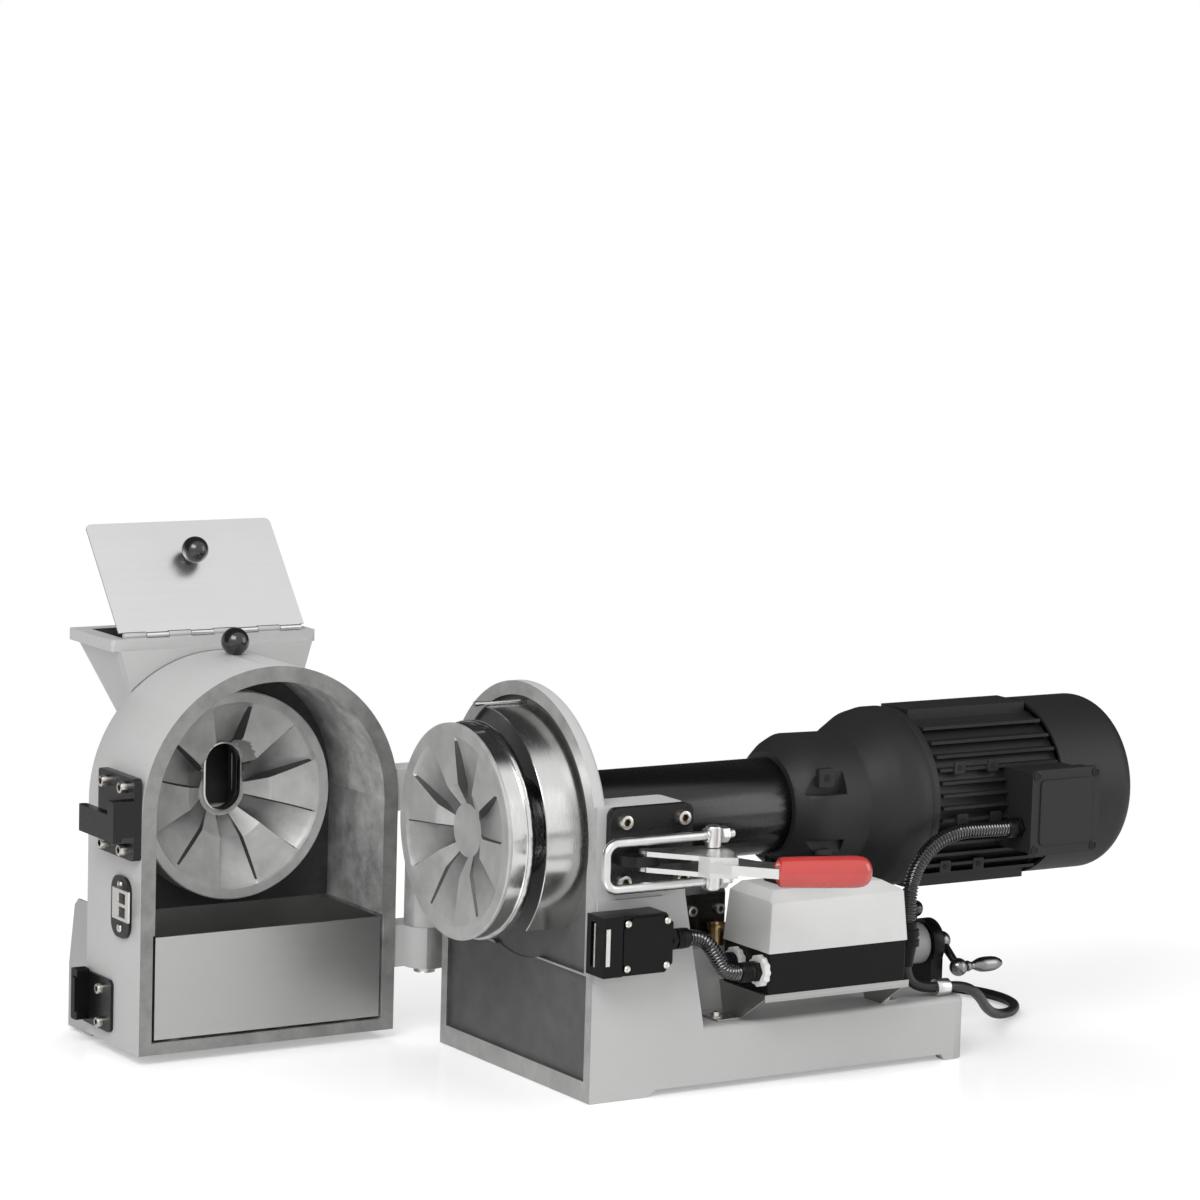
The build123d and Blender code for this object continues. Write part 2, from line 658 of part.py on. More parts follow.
def terminal_box():
    """Connection box on the motor's side, with its lid."""
    x0, x1 = TERMINAL_X
    z0, z1 = TERMINAL_Z
    y = TERMINAL_Y + TERMINAL_LID_T
    body = block(x0 + 1, FRAME_END, y, -FRAME_R * 0.85, z0 + 3, z1 - 3)
    body -= rod_x(FRAME_R, x0, FRAME_END + 1)
    body -= motor_frame()
    lid = block(x0, x1, TERMINAL_Y, y, z0, z1)
    lid = fillet(lid.edges().filter_by(Axis.Y), 6)
    tray = block(FRAME_END, x1 - 2, y, -MOTOR_R - 9, z0 + 3, z1 - 3)
    return body + tray + lid


# ---------------------------------------------------------------- control box and wiring
def box_bracket():
    """Bent sheet tray with two legs that stand on the bed."""
    x0, x1 = BOX_X[0] - 4, BOX_X[1] + 4
    top = BOX_Z[0]
    part = block(x0, x1, BOX_Y[0] - 1, BOX_Y[1], top - BRACKET_T, top)
    lip = block(x0, x1, BOX_Y[0] - 1, BOX_Y[0] + 1, top - 7, top)
    toe_y0, toe_y1 = NEAR + 10, NEAR + 37
    leg = [(toe_y0, BED_TOP), (BOX_Y[0], top - 4), (BOX_Y[0], top), (BOX_Y[1], top), (toe_y1, BED_TOP)]
    for x in (x0, x1 - BRACKET_T):
        part += slab_x(leg, x, x + BRACKET_T)
    for toe_x0, toe_x1 in ((x0 - 24, x0 + BRACKET_T), (x1 - BRACKET_T, x1 + 18)):
        part += block(toe_x0, toe_x1, toe_y0, toe_y1, BED_TOP, BED_TOP + BRACKET_T)
    return part + lip


def control_box():
    part = block(BOX_X[0], BOX_X[1], BOX_Y[0], BOX_Y[1], BOX_Z[0], BOX_Z[1])
    part = fillet(part.edges().filter_by(Axis.Z), 2)
    inner = block(
        BOX_X[0] + 3, BOX_X[1] - 3, BOX_Y[0] + 3, BOX_Y[1] - 3, BOX_Z[0] + 3, BOX_Z[1] + 1
    )
    return part - inner


def control_lid():
    """Cover with a chamfered front and ends."""
    x0, x1 = BOX_X
    y0, y1 = BOX_Y
    z0, z1 = BOX_Z[1], BOX_Z[2]
    front = [(y0 - 1, z0), (y0 + 2, z1 - 9), (y0 + 20, z1), (y1 - 2, z1), (y1 + 1, z0)]
    shell = slab_x(front, x0 - 1, x1 + 1)
    ends = [(x0 - 1, z0), (x0 + 3, z1 - 7), (x0 + 16, z1), (x1 - 16, z1), (x1 - 3, z1 - 7), (x1 + 1, z0)]
    shell &= slab_y(ends, y0 - 2, y1 + 2)
    inner = block(x0 + 6, x1 - 6, y0 + 7, y1 - 5, z0 - 1, z1 - 12)
    return shell - inner


def switch_flap_axis():
    """Where the starter's flap hinges, behind the top of the cover."""
    return (BOX_Y[1] - 16, BOX_Z[2] + 20)


def switch_housing():
    """Raised starter housing on the cover, with two ears for the flap's pin."""
    y, z = switch_flap_axis()
    x0, x1 = FLAP_X
    part = block(x0, x1, BOX_Y[0] + 24, y + 4, BOX_Z[2], z - 6)
    for low, high in ((x0, x0 + FLAP_EAR), (x1 - FLAP_EAR, x1)):
        part += block(low, high, y - 4, y + 4, z - 6, z + 4)
    return part - rod_x(FLAP_PIN_R + RUN, x0 - 1, x1 + 1, y, z)


def switch_flap():
    """Hinged flap over the starter's buttons, standing a little open."""
    y, z = switch_flap_axis()
    x0, x1 = FLAP_X
    low, high = x0 + FLAP_EAR + GAP, x1 - FLAP_EAR - GAP
    plate = block(low, high, -FLAP_L, 0, -1.5, 1.5) + rod_x(3, low, high, 0, 0)
    lip = block(low, high, -FLAP_L, 3 - FLAP_L, -8, 1.5)
    pin = rod_x(FLAP_PIN_R, x0, x1, 0, 0)
    return Pos(0, y, z) * Rot(-8, 0, 0) * (plate + lip + pin)


def hose(points, radii, r):
    """A round hose along straight runs joined by arcs."""
    path = FilletPolyline(*points, radius=radii)
    start = path @ 0
    section = Plane(origin=start, z_dir=path % 0) * Circle(r)
    return sweep(section, path=path)


def corner_radii(points):
    """Each corner's arc, as large as its two runs allow."""
    radii = []
    for a, b, c in zip(points, points[1:], points[2:]):
        before = Vector(*b) - Vector(*a)
        after = Vector(*c) - Vector(*b)
        turn = radians(before.get_angle(after))
        radii.append(0.45 * min(before.length, after.length) / tan(turn / 2))
    return radii


HOSE_Y = NEAR - 19.0
SWITCH_HOSE = [
    (89, HOSE_Y, 150),
    (105, HOSE_Y, 149.5),
    (119, HOSE_Y - 1.5, 132),
    (131, HOSE_Y - 1, 113),
    (146, HOSE_Y, 112),
]
MOTOR_HOSE = [
    (486, -105, 213),
    (457, -105, 214),
    (425, -105, 214),
    (397, -105, 203),
    (377, -107, 182),
    (368, -111, 158),
    (367, -112, 133),
]
LEAD_ROUTE = [
    (367, -112, 90),
    (368, -113, 80),
    (375, -117, 71),
    (391, -122, 68.6),
    (412, -122.7, 68.4),
    (438, -116, 64),
    (468, -97, 48),
    (500, -66, 27),
    (536, -36, 10),
    (572, -16, 5.0),
    (599, 12, 5.2),
    (604, 55, 5.0),
    (587, 99, 5.2),
    (552, 133, 5.0),
    (504, 151, 5.2),
    (455, 157, 5.0),
]
BRANCH = LEAD_ROUTE[0]


def switch_conduit():
    return hose(SWITCH_HOSE, corner_radii(SWITCH_HOSE), HOSE_R)


def motor_conduit():
    return hose(MOTOR_HOSE, corner_radii(MOTOR_HOSE), HOSE_R)


def conduit_fittings():
    """Glands on the switch, box and motor, and the branch piece over the lead."""
    bx, by, bz = BRANCH
    hose_x0, hose_y0, hose_z0 = SWITCH_HOSE[0]
    hose_x1, hose_y1, hose_z1 = SWITCH_HOSE[-1]
    nut_face = BOX_X[0] - NUT_T
    switch_gland = rod_x(GLAND_R, SWITCH_X[2] + 2, hose_x0, hose_y0, hose_z0)
    near_gland = rod_x(GLAND_R, hose_x1, nut_face, hose_y1, hose_z1)
    far_gland = rod_x(GLAND_R, nut_face - 12, nut_face, *SPARE_GLAND)
    motor_gland = rod_x(GLAND_R, MOTOR_HOSE[0][0], TERMINAL_X[0] + 1, MOTOR_HOSE[0][1], MOTOR_HOSE[0][2])
    profile = [(0, bz), (CORD_R + 1.5, bz), (9.5, bz + 10), (12, bz + 18), (12, bz + 28)]
    profile += [(9.5, bz + 32), (9.5, MOTOR_HOSE[-1][2]), (0, MOTOR_HOSE[-1][2])]
    branch = turned_z(profile, bx, by) + rod_x(9, BOX_X[1], bx, by, bz + 22)
    return Compound([switch_gland, near_gland, far_gland, motor_gland, branch])


def gland_nuts():
    """Lock nuts between the glands and the box."""
    face = BOX_X[0]
    near = rod_x(NUT_R, face - NUT_T, face, SWITCH_HOSE[-1][1], SWITCH_HOSE[-1][2])
    far = rod_x(NUT_R, face - NUT_T, face, *SPARE_GLAND)
    return Compound([near, far])


def interlock_switch():
    """Safety switch with an actuator slot in its front end."""
    front, back = NEAR - SWITCH_DEPTH, NEAR - SWITCH_PAD_T
    x0, x1, x2 = SWITCH_X
    z0, z1 = SWITCH_Z
    head = block(x0, x1, front, back, z0, z1)
    body = [(x1, z0), (x2 - 8, z0), (x2, z0 + 8), (x2, z1 - 10), (x2 - 8, z1), (x1, z1)]
    cover = [(x1 + 11, z0 + 1), (x2 - 14, z0 + 1), (x2 - 2, z0 + 11), (x2 - 2, z1 - 12)]
    cover += [(x2 - 14, z1 - 2), (x1 + 11, z1 - 2), (x1 + 1, z1 - 12), (x1 + 1, z0 + 11)]
    part = head + slab_y(body, front + 2, back) + slab_y(cover, front, front + 2)
    part += block(x2 - 4, x2 + 2, HOSE_Y - 6, HOSE_Y + 11, z0 + 17, z1 - 18)
    slot = block(x0 - 1, 5, KEY_Y - KEY_SLOT / 2, KEY_Y + KEY_SLOT / 2, KEY_Z[0] - 5, KEY_Z[1] + 7)
    return part - slot


def small_screws():
    """Screws of the safety switch, the bracket's and the tube's feet and the connection box."""
    heads = []
    front = NEAR - SWITCH_DEPTH
    for x in (SWITCH_X[1] + 5, SWITCH_X[2] - 8):
        for z in (SWITCH_Z[0] + 7, SWITCH_Z[1] - 7):
            heads.append(rod_y(3, front, front - 2, x, z))
    for x in (155, 186):
        heads.append(rod_y(5, -TUBE_FOOT_HALF, -TUBE_FOOT_HALF - 5, x, 151))
    toe = BED_TOP + BRACKET_T
    for x in (BOX_X[0] - 22, BOX_X[1] + 15):
        heads.append(rod_z(4.5, toe, toe + 5, x, NEAR + 23))
    for x in (TERMINAL_X[0] + 6, TERMINAL_X[1] - 6):
        for z in (TERMINAL_Z[0] + 6, TERMINAL_Z[1] - 6):
            heads.append(rod_y(3, TERMINAL_Y, TERMINAL_Y - 0.8, x, z))
    return Compound(heads)


def cord_clip():
    """Lined clip that holds the lead at the bed's rear edge."""
    x0, x1 = CLIP_X
    y, z = -122.3, 68.5
    ring = rod_x(CORD_R + 3, x0, x1, y, z)
    foot = block(x0 + 3, x1 - 3, y, y + 20, BED_TOP, BED_TOP + 2)
    return ring + foot - mains_lead()


def mains_lead():
    return hose(LEAD_ROUTE, corner_radii(LEAD_ROUTE), CORD_R)


def lead_coil():
    """Outer shape of the wound-up rest of the lead, with both ends leaving it straight."""
    x, y, z = LEAD_ROUTE[-1]
    middle_x, middle_y = COIL_X, y + COIL_R
    ring = rod_z(COIL_R + COIL_BAND, 0, COIL_H, middle_x, middle_y)
    ring -= rod_z(COIL_R - COIL_BAND, -1, COIL_H + 1, middle_x, middle_y)
    arriving = rod_x(CORD_R, middle_x, x, y, z)
    leaving = rod_x(CORD_R, PLUG_X, middle_x, y, PLUG_R)
    return ring + arriving + leaving


def mains_plug():
    """Round earthed plug lying beside the coil."""
    y, z = LEAD_ROUTE[-1][1], PLUG_R
    profile = [(0, 0), (0, CORD_R + 1), (23, CORD_R + 4), (45, 13), (69, PLUG_R), (91, PLUG_R)]
    profile += [(95, PLUG_R - 1), (95, 0)]
    body = turned_x([(PLUG_X - along, r) for along, r in profile], y, z)
    face = PLUG_X - 95
    body -= turned_x([(face - 1, 0), (face - 1, 8), (face + 12, 8), (face + 12, 0)], y, z)
    body += rod_x(7, face + 2, face + 13, y, z)
    for side in (-1, 1):
        body += rod_x(2.4, face - 19, face + 3, y + side * 9.5, z)
    return body


# ---------------------------------------------------------------- gap adjuster
CRANK_Z = 82.0
CRANK_X = BED_L + 66.0
HOUSING_X = (BED_L - 42.0, BED_L + 39.0)
HOUSING_R = 20.0
DIAL_X = (HOUSING_X[1] + 1, HOUSING_X[1] + 15)
DIAL_R = 24.0
CRANK_BALL = (-30.0, 61.0)
SPINDLE_R = 6.0
CRANK_PIN_R = 3.0
LOCK_SCREW_X = BED_L + 32.0
LOCK_SCREW_R = 3.0


def spindle_housing():
    x0, x1 = HOUSING_X
    r = HOUSING_R
    part = rod_x(r, x0, x1, 0, CRANK_Z) + block(x0, BED_L - 2, -r, r, BED_TOP, CRANK_Z)
    part -= rod_x(SPINDLE_R + RUN, x0 - 1, x1 + 1, 0, CRANK_Z)
    return part - rod_z(LOCK_SCREW_R + RUN, CRANK_Z + 8, CRANK_Z + r + 1, LOCK_SCREW_X, 0)


def gap_indicator():
    """Counter block on the spindle."""
    x0, x1 = DIAL_X
    part = block(x0, x1, -HOUSING_R, HOUSING_R, CRANK_Z - 38, CRANK_Z + 12)
    part = fillet(part.edges().filter_by(Axis.X), 2)
    part += rod_x(DIAL_R, x0 + 1, x1 - 1, 0, CRANK_Z) + rod_x(12, HOUSING_X[1], x0, 0, CRANK_Z)
    return part - rod_x(SPINDLE_R + RUN, x0 - 2, x1 + 1, 0, CRANK_Z)


def crank_arm():
    y, z = CRANK_BALL
    hub = Pos(CRANK_X, 0, CRANK_Z) * Sphere(9.5)
    ball = Pos(CRANK_X, y, z) * Sphere(9)
    arm = Solid.make_cone(
        4.5, 3.5, 37, Plane(origin=(CRANK_X, 0, CRANK_Z), z_dir=(0, y, z - CRANK_Z))
    )
    spindle = rod_x(SPINDLE_R, HOUSING_X[0] + 8, CRANK_X, 0, CRANK_Z)
    pin = rod_x(CRANK_PIN_R, CRANK_X, CRANK_X + 52, y, z)
    return hub + ball + arm + spindle + pin


def crank_handle():
    """Turned grip that revolves on the crank's pin."""
    x = CRANK_X + 9
    y, z = CRANK_BALL
    points = [(x, 5), (x + 2, 5.5), (x + 6, 4), (x + 14, 6), (x + 26, 7.5), (x + 36, 6.5), (x + 43, 3.2)]
    curve = Spline(*[(px, r, 0) for px, r in points])
    bore = CRANK_PIN_R + RUN
    close = Polyline((x + 43, 3.2, 0), (x + 43, bore, 0), (x, bore, 0), (x, 5, 0))
    return Pos(0, y, z) * revolve(make_face([curve, close]), axis=Axis.X)


def gap_lock_knob():
    """Ball knob on the screw that locks the spindle."""
    x = LOCK_SCREW_X
    ball_z = CRANK_Z + 35
    stem = rod_z(LOCK_SCREW_R, CRANK_Z + 9, ball_z - 5, x, 0)
    return stem + Pos(x, 0, ball_z) * Sphere(8.5)


# ---------------------------------------------------------------- clamp
def clamp_plate():
    """Plate on the housing with a tongue that carries the lever's pivot."""
    y0, y1 = NEAR - CLAMP_T, NEAR
    part = block(CLAMP_X[0], CLAMP_X[1], y0, y1, CLAMP_Z[0], CLAMP_Z[1])
    part = fillet(part.edges().filter_by(Axis.Y), 8)
    px, py = PIVOT
    outline = [
        (px - 24, y0),
        (px - 24, py + 4),
        (px - 16, py - 8),
        (px + 6, py - 8),
        (px + 20, y0 - 6),
        (px + 46, y0),
    ]
    low, high = LEVER_Z - TONGUE_T / 2, LEVER_Z + TONGUE_T / 2
    tongue = slab_z(outline, low, high)
    return part + tongue - rod_z(PIVOT_R + RUN, low - 1, high + 1, px, py)


def clamp_plate_screws():
    heads = [
        socket_screw_y(x, z, NEAR - CLAMP_T, 6.5, 8, 3.6)
        for x in CLAMP_SCREWS_X
        for z in CLAMP_SCREWS_Z
    ]
    return Compound(heads)


def lever_levels():
    """Heights of the lever's plates: below and above the tongue, and at the neck."""
    inner = TONGUE_T / 2 + GAP
    return LEVER_Z - inner - LEVER_PLATE, LEVER_Z - inner, LEVER_Z + inner, LEVER_Z + inner + LEVER_PLATE


def lever_yoke():
    """Lever of two pressed plates, spread round the tongue and laid together at the neck."""
    px, py = PIVOT
    tx, ty = TRUNNION
    z0, z1, z2, z3 = lever_levels()
    wide = from_pivot([(-4, 7), (-6, -8), (26, -44), (58, -57), (67, -39), (76, -8), (40, -4)])
    joggle = from_pivot([(26, -44), (32, -54), (54, -66), (58, -57), (67, -39), (50, -37)])
    part = slab_z(wide, z0, z1) + slab_z(wide, z2, z3)
    part += rod_z(8, z0, z1, px, py) + rod_z(8, z2, z3, px, py)
    part += lever_neck() + slab_z(joggle, z0, z3)
    part += rod_z(PIVOT_R, z0, z3, px, py)
    for low, high in ((z0 - TRUNNION_PIN_L, z0), (z3, z3 + TRUNNION_PIN_L)):
        part += rod_z(TRUNNION_PIN_R, low, high, tx, ty)
    return part + grip_core()


def from_pivot(points):
    """Points of the lever's outline, given from its pivot."""
    px, py = PIVOT
    return [(px + x, py + y) for x, y in points]


def lever_neck():
    """Neck of the lever, where its two plates lie together."""
    outline = [(26, -44), (43, -72), (72, -104), (86, -110), (96, -87), (76, -62), (67, -39)]
    return slab_z(from_pivot(outline), LEVER_Z - LEVER_PLATE, LEVER_Z + LEVER_PLATE)


def grip_plane(offset):
    """Section plane of the grip, at a distance along it from the grip's start."""
    along = Vector(*GRIP_AXIS, 0).normalized()
    origin = Vector(*GRIP_START, LEVER_Z) + along * offset
    return Plane(origin=origin, x_dir=(0, 0, 1), z_dir=along)


def grip_core():
    core = grip_plane(-2) * Rectangle(2 * LEVER_PLATE, GRIP_W * 0.55)
    return extrude(core, amount=GRIP_CORE_L)


def lever_grip():
    """Moulded grip pressed over the lever's end."""
    grip = extrude(grip_plane(0) * Ellipse(GRIP_H / 2, GRIP_W / 2), amount=GRIP_L)
    far = grip.faces().sort_by(Axis((0, 0, 0), (*GRIP_AXIS, 0)))[-1]
    grip = fillet(far.edges(), 9)
    return grip - grip_core() - lever_neck()


def u_bolt():
    """Round bar bent to a long U, with threaded ends."""
    tx, ty = TRUNNION
    z0, z1 = LEVER_Z - U_BOLT_HALF, LEVER_Z + U_BOLT_HALF
    end = tx + U_BOLT_TAIL
    points = [(end, ty, z0), (U_BOLT_BAR_X, ty, z0), (U_BOLT_BAR_X, ty, z1), (end, ty, z1)]
    return hose(points, U_BOLT_BEND, U_BOLT_R)


def trunnion_blocks():
    """Cross-bored swivel blocks of the lever, and their lock nuts."""
    tx, ty = TRUNNION
    z0, z1, z2, z3 = lever_levels()
    pieces = []
    for side, seat in ((-1, z0), (1, z3)):
        z = LEVER_Z + side * U_BOLT_HALF
        low, high = sorted((seat + side * GAP, z + side * (TRUNNION_R + 1)))
        body = rod_z(TRUNNION_R, low, high, tx, ty)
        reach = TRUNNION_PIN_L + GAP
        body -= rod_z(TRUNNION_PIN_R + RUN, z0 - reach, z3 + reach, tx, ty)
        nut = Pos(tx + TRUNNION_R, ty, z) * Rot(0, 90, 0) * extrude(RegularPolygon(8, 6), amount=8)
        bore = rod_x(U_BOLT_R, tx - 20, tx + 30, ty, z)
        pieces += [body - bore, nut - bore - body]
    return Compound(pieces)


# ---------------------------------------------------------------- door half, modelled closed
def door_casting():
    front = -GAP
    body = arch(HALF_W, -DOOR_D, front, DOOR_Z0)
    back = body.faces().sort_by(Axis.X)[0]
    body = fillet([e for e in back.edges() if e.center().Z > DOOR_Z0 + 1], BED_EDGE_R)
    inner = -DOOR_D + DOOR_BACK
    body -= arch(CHAMBER_R, inner, 1, LEDGE_Z)
    body -= block(-DOOR_D - 1, 1, -CHAMBER_HALF_LOW, CHAMBER_HALF_LOW, SILL_Z, LEDGE_Z + 1)
    for low, high in ((HINGE_Z[0], HINGE_Z[1]), (HINGE_Z[2], HINGE_Z[3])):
        body += block(-HINGE_ARM_T, -2, FAR - 1, HINGE_Y, low, high)
        body += rod_z(HINGE_R, low, high, 0, HINGE_Y)
    body -= rod_z(HINGE_PIN_R + RUN, DOOR_Z0, HINGE_Z[3] + 1, 0, HINGE_Y)
    body -= rod_z(LOCK_R + RUN, SHAFT_Z, SHAFT_Z + HALF_W + 1, LOCK_X, 0)
    return body - feed_slot(-DOOR_D - 1, inner + 1)


def feed_slot(x0, x1):
    """The oblong feed passage through the door's wall and the fixed disc."""
    z0, z1 = SLOT_Z
    cut = block(x0, x1, -SLOT_HALF, SLOT_HALF, z0 + SLOT_HALF, z1 - SLOT_HALF)
    return cut + rod_x(SLOT_HALF, x0, x1, 0, z0 + SLOT_HALF) + rod_x(SLOT_HALF, x0, x1, 0, z1 - SLOT_HALF)


def fixed_disc():
    """Deeply dished cast disc with tapered flutes round the feed slot."""
    back = -DOOR_D + DOOR_BACK
    hub = back + FIXED_HUB_T
    hub_r, ring_r = SLOT_HALF + 6, DISC_R - 9
    profile = [
        (back, 0),
        (back, DISC_R),
        (FIXED_FACE_X - 1, DISC_R),
        (FIXED_FACE_X, DISC_R - 1),
        (FIXED_FACE_X, ring_r),
        (hub, hub_r),
        (hub, 0),
    ]
    part = turned_x(profile)
    for i in range(9):
        start = (hub + 8, hub_r + 14)
        part -= disc_flute(100 + i * 40, start, (FIXED_FACE_X, ring_r), 5, 11, -1)
    part -= feed_slot(back - 1, FIXED_FACE_X + 1)
    return part - rod_z(LOCK_R + 0.5, SHAFT_Z + DISC_R - 8, SHAFT_Z + DISC_R + 1, LOCK_X, 0)


def lock_pin():
    """Pull-up pin that holds the fixed disc."""
    low = SHAFT_Z + DISC_R - 7
    high = SHAFT_Z + HALF_W + 8
    return rod_z(LOCK_R, low, high, LOCK_X, 0)


def ball_knob(r, seat):
    """A ball with a flat seat, at the distance seat under its middle."""
    return Sphere(r) - Pos(0, 0, -r) * Box(2 * r, 2 * r, 2 * (r - seat))


def lock_knob():
    seat = LOCK_KNOB_R - 1.5
    knob = Pos(LOCK_X, 0, SHAFT_Z + HALF_W + GAP + seat) * ball_knob(LOCK_KNOB_R, seat)
    return knob - lock_pin()


def latch_hook():
    """Cast hook: a plate on the door's side and a nose that opens away from the clamp."""
    y0, y1 = NEAR - CLAMP_T, NEAR
    x0, x1 = HOOK_X
    plate = block(x0, x1, y0, y1, *HOOK_Z)
    plate = fillet(plate.edges().filter_by(Axis.Y), 4)
    nose = block(x0, x1, HOOK_NOSE_Y[0], HOOK_NOSE_Y[1], *HOOK_NOSE_Z)
    nose = fillet(nose.edges().filter_by(Axis.Z).sort_by(Axis.X)[:2], 4)
    web = block(x1 - HOOK_WEB_T, x1, HOOK_NOSE_Y[0], y0 + 1, *HOOK_WEB_Z)
    return plate + nose + web


ACTUATOR_X = (-57.0, -19.0)
ACTUATOR_Z = (115.0, 173.0)
ACTUATOR_T = 3.0
DRAWER_BRACKET_X = (-DOOR_D, -55.0)
DRAWER_BRACKET_Z = (20.0, 70.0)
DRAWER_BRACKET_T = 3.0
DRAWER_SWITCH_X = (-DOOR_D + 4.0, -DOOR_D + 17.0)
DRAWER_SWITCH_DEPTH = 13.0


def door_screws():
    """Screws of the latch hook, the actuator and the drawer switch's bracket."""
    heads = []
    for x in HOOK_SCREWS_X:
        for z in HOOK_SCREWS_Z:
            heads.append(socket_screw_y(x, z, NEAR - CLAMP_T, 5.5, 7, 3.0))
    middle = sum(ACTUATOR_X) / 2
    face = NEAR - ACTUATOR_T
    for z in (ACTUATOR_Z[0] + 9, ACTUATOR_Z[1] - 8):
        heads.append(rod_y(4, face, face - 1.5, middle, z))
    face = NEAR - DRAWER_BRACKET_T
    for z in (DRAWER_BRACKET_Z[0] + 7, DRAWER_BRACKET_Z[1] - 11):
        heads.append(socket_screw_y(DRAWER_BRACKET_X[0] + 42, z, face, 5, 5, 2.6))
    return Compound(heads)


def actuator_key():
    """Plate on the door's side with the bent key for the safety switch."""
    y0, y1 = NEAR - ACTUATOR_T, NEAR
    x0, x1 = ACTUATOR_X
    plate = block(x0, x1, y0, y1, *ACTUATOR_Z)
    plate = fillet(plate.edges().filter_by(Axis.Y), 14)
    low, high = KEY_Y - KEY_SHEET / 2, KEY_Y + KEY_SHEET / 2
    start, tip = KEY_X
    z0, z1 = KEY_Z
    arm = block(start, start + KEY_SHEET, low, y1, z0, z1)
    key = block(start, tip, low, high, z0, z1)
    bar = 3.0
    window = (z1 - z0 - 3 * bar) / 2
    for bottom in (z0 + bar, z0 + 2 * bar + window):
        key -= block(start + 10, tip - 2 * bar, low - 1, high + 1, bottom, bottom + window)
    return plate + arm + key


def switch_bracket():
    plate = block(*DRAWER_BRACKET_X, NEAR - DRAWER_BRACKET_T, NEAR, *DRAWER_BRACKET_Z)
    return fillet(plate.edges().filter_by(Axis.Y), 6)


def drawer_switch():
    """Safety switch for the drawer, on its bracket at the door's back edge."""
    back = NEAR - DRAWER_BRACKET_T
    x0, x1 = DRAWER_SWITCH_X
    z0, z1 = DRAWER_BRACKET_Z[0] + 4, DRAWER_BRACKET_Z[1] + 3
    body = block(x0, x1, back - DRAWER_SWITCH_DEPTH, back, z0, z1)
    body = fillet(body.edges().filter_by(Axis.Y), 2)
    return body + block(x0 + 4, x1 - 2, back - DRAWER_SWITCH_DEPTH - 1.5, back - 1, z0 + 8, z1 - 8)


def drawer_box():
    """Stainless collecting drawer with winged handle plate outside the door."""
    h = DRAWER_HALF
    z0, z1 = DRAWER_Z
    plate_x = -DOOR_D - GAP
    back = plate_x - SHEET
    tray = block(back, -1, -h, h, z0, z1)
    tray -= block(back + SHEET, -1 - SHEET, -h + SHEET, h - SHEET, z0 + SHEET, z1 + 1)
    w = COVER_HALF
    cover = block(back, plate_x, -w, w, *COVER_Z)
    wing_x = back - WING_L
    foot, knee, shoulder = WING_Z
    side = [(back, foot), (wing_x, foot), (wing_x, knee), (wing_x + 11, shoulder)]
    side += [(wing_x + 19, COVER_Z[1]), (back, COVER_Z[1])]
    wings = slab_y(side, -w, SHEET - w) + slab_y(side, w - SHEET, w)
    floor = block(wing_x, plate_x, -w, w, foot, foot + SHEET)
    bar = rod_y(HANDLE_R, 1 - w, w - 1, wing_x + 22, COVER_Z[1] - 34)
    part = tray + cover + wings + floor + bar
    for y0, y1 in (RUNNER_Y, (-RUNNER_Y[1], -RUNNER_Y[0])):
        part += block(-DOOR_D + 10, -10, y0, y1, SILL_Z + GAP, z0)
    return part


def feed_hopper():
    """Cast funnel behind the door's arch, leading to the feed slot."""
    x0, x1 = HOPPER_X
    half = HOPPER_HALF
    t = HOPPER_WALL
    rim = HOPPER_TOP - FLANGE_T
    throat = -DOOR_D - t
    flange = block(x0, x1, -half, half, rim, HOPPER_TOP)
    flange = fillet(flange.edges().filter_by(Axis.Z), 4)
    low_half = SLOT_HALF + 14
    outer = funnel((x0 + 6, x1 - 1, half - 7, rim + 1), (throat - 24, -DOOR_D, low_half, HOPPER_LOW_Z))
    front = funnel((x1 - t, -DOOR_D + 1, half - 7, rim + 1), (throat, -DOOR_D + 1, half - 30, SHAFT_Z + 60))
    inner_top = (x0 + t + 8, x1 - t, half - t - 8, HOPPER_TOP + 1)
    inner = funnel(inner_top, (throat - 10, throat, SLOT_HALF, SLOT_Z[0]))
    part = flange + outer + front - inner
    part -= block(throat - 8, -DOOR_D + 2, -SLOT_HALF, SLOT_HALF, SLOT_Z[0] + 2, SLOT_Z[1])
    part -= arch(HALF_W, -DOOR_D, 1, DOOR_Z0)
    return part + lid_knuckles(0)


def funnel(top, bottom):
    """A tapered solid between two level rectangles of (x0, x1, half width, z)."""
    rings = []
    for x0, x1, half, z in (bottom, top):
        corners = [(x0, -half, z), (x1, -half, z), (x1, half, z), (x0, half, z)]
        rings.append(Polyline(*corners, close=True))
    return loft([make_face(r) for r in rings], ruled=True)


def knuckle_spans(first):
    """Every other knuckle of the piano hinge, as its two ends across the machine."""
    reach = LID_HALF - 4
    pitch = 2 * reach / LID_KNUCKLES
    starts = [-reach + i * pitch for i in range(first, LID_KNUCKLES, 2)]
    return [(start + GAP, start + pitch - GAP) for start in starts]


def lid_knuckles(first):
    x, z = LID_AXIS
    part = None
    for y0, y1 in knuckle_spans(first):
        knuckle = rod_y(LID_KNUCKLE_R, y0, y1, x, z)
        if first == 0:
            knuckle += block(x - 1, HOPPER_X[1] - 1, y0, y1, HOPPER_TOP, HOPPER_TOP + 1)
        part = knuckle if part is None else part + knuckle
    return part


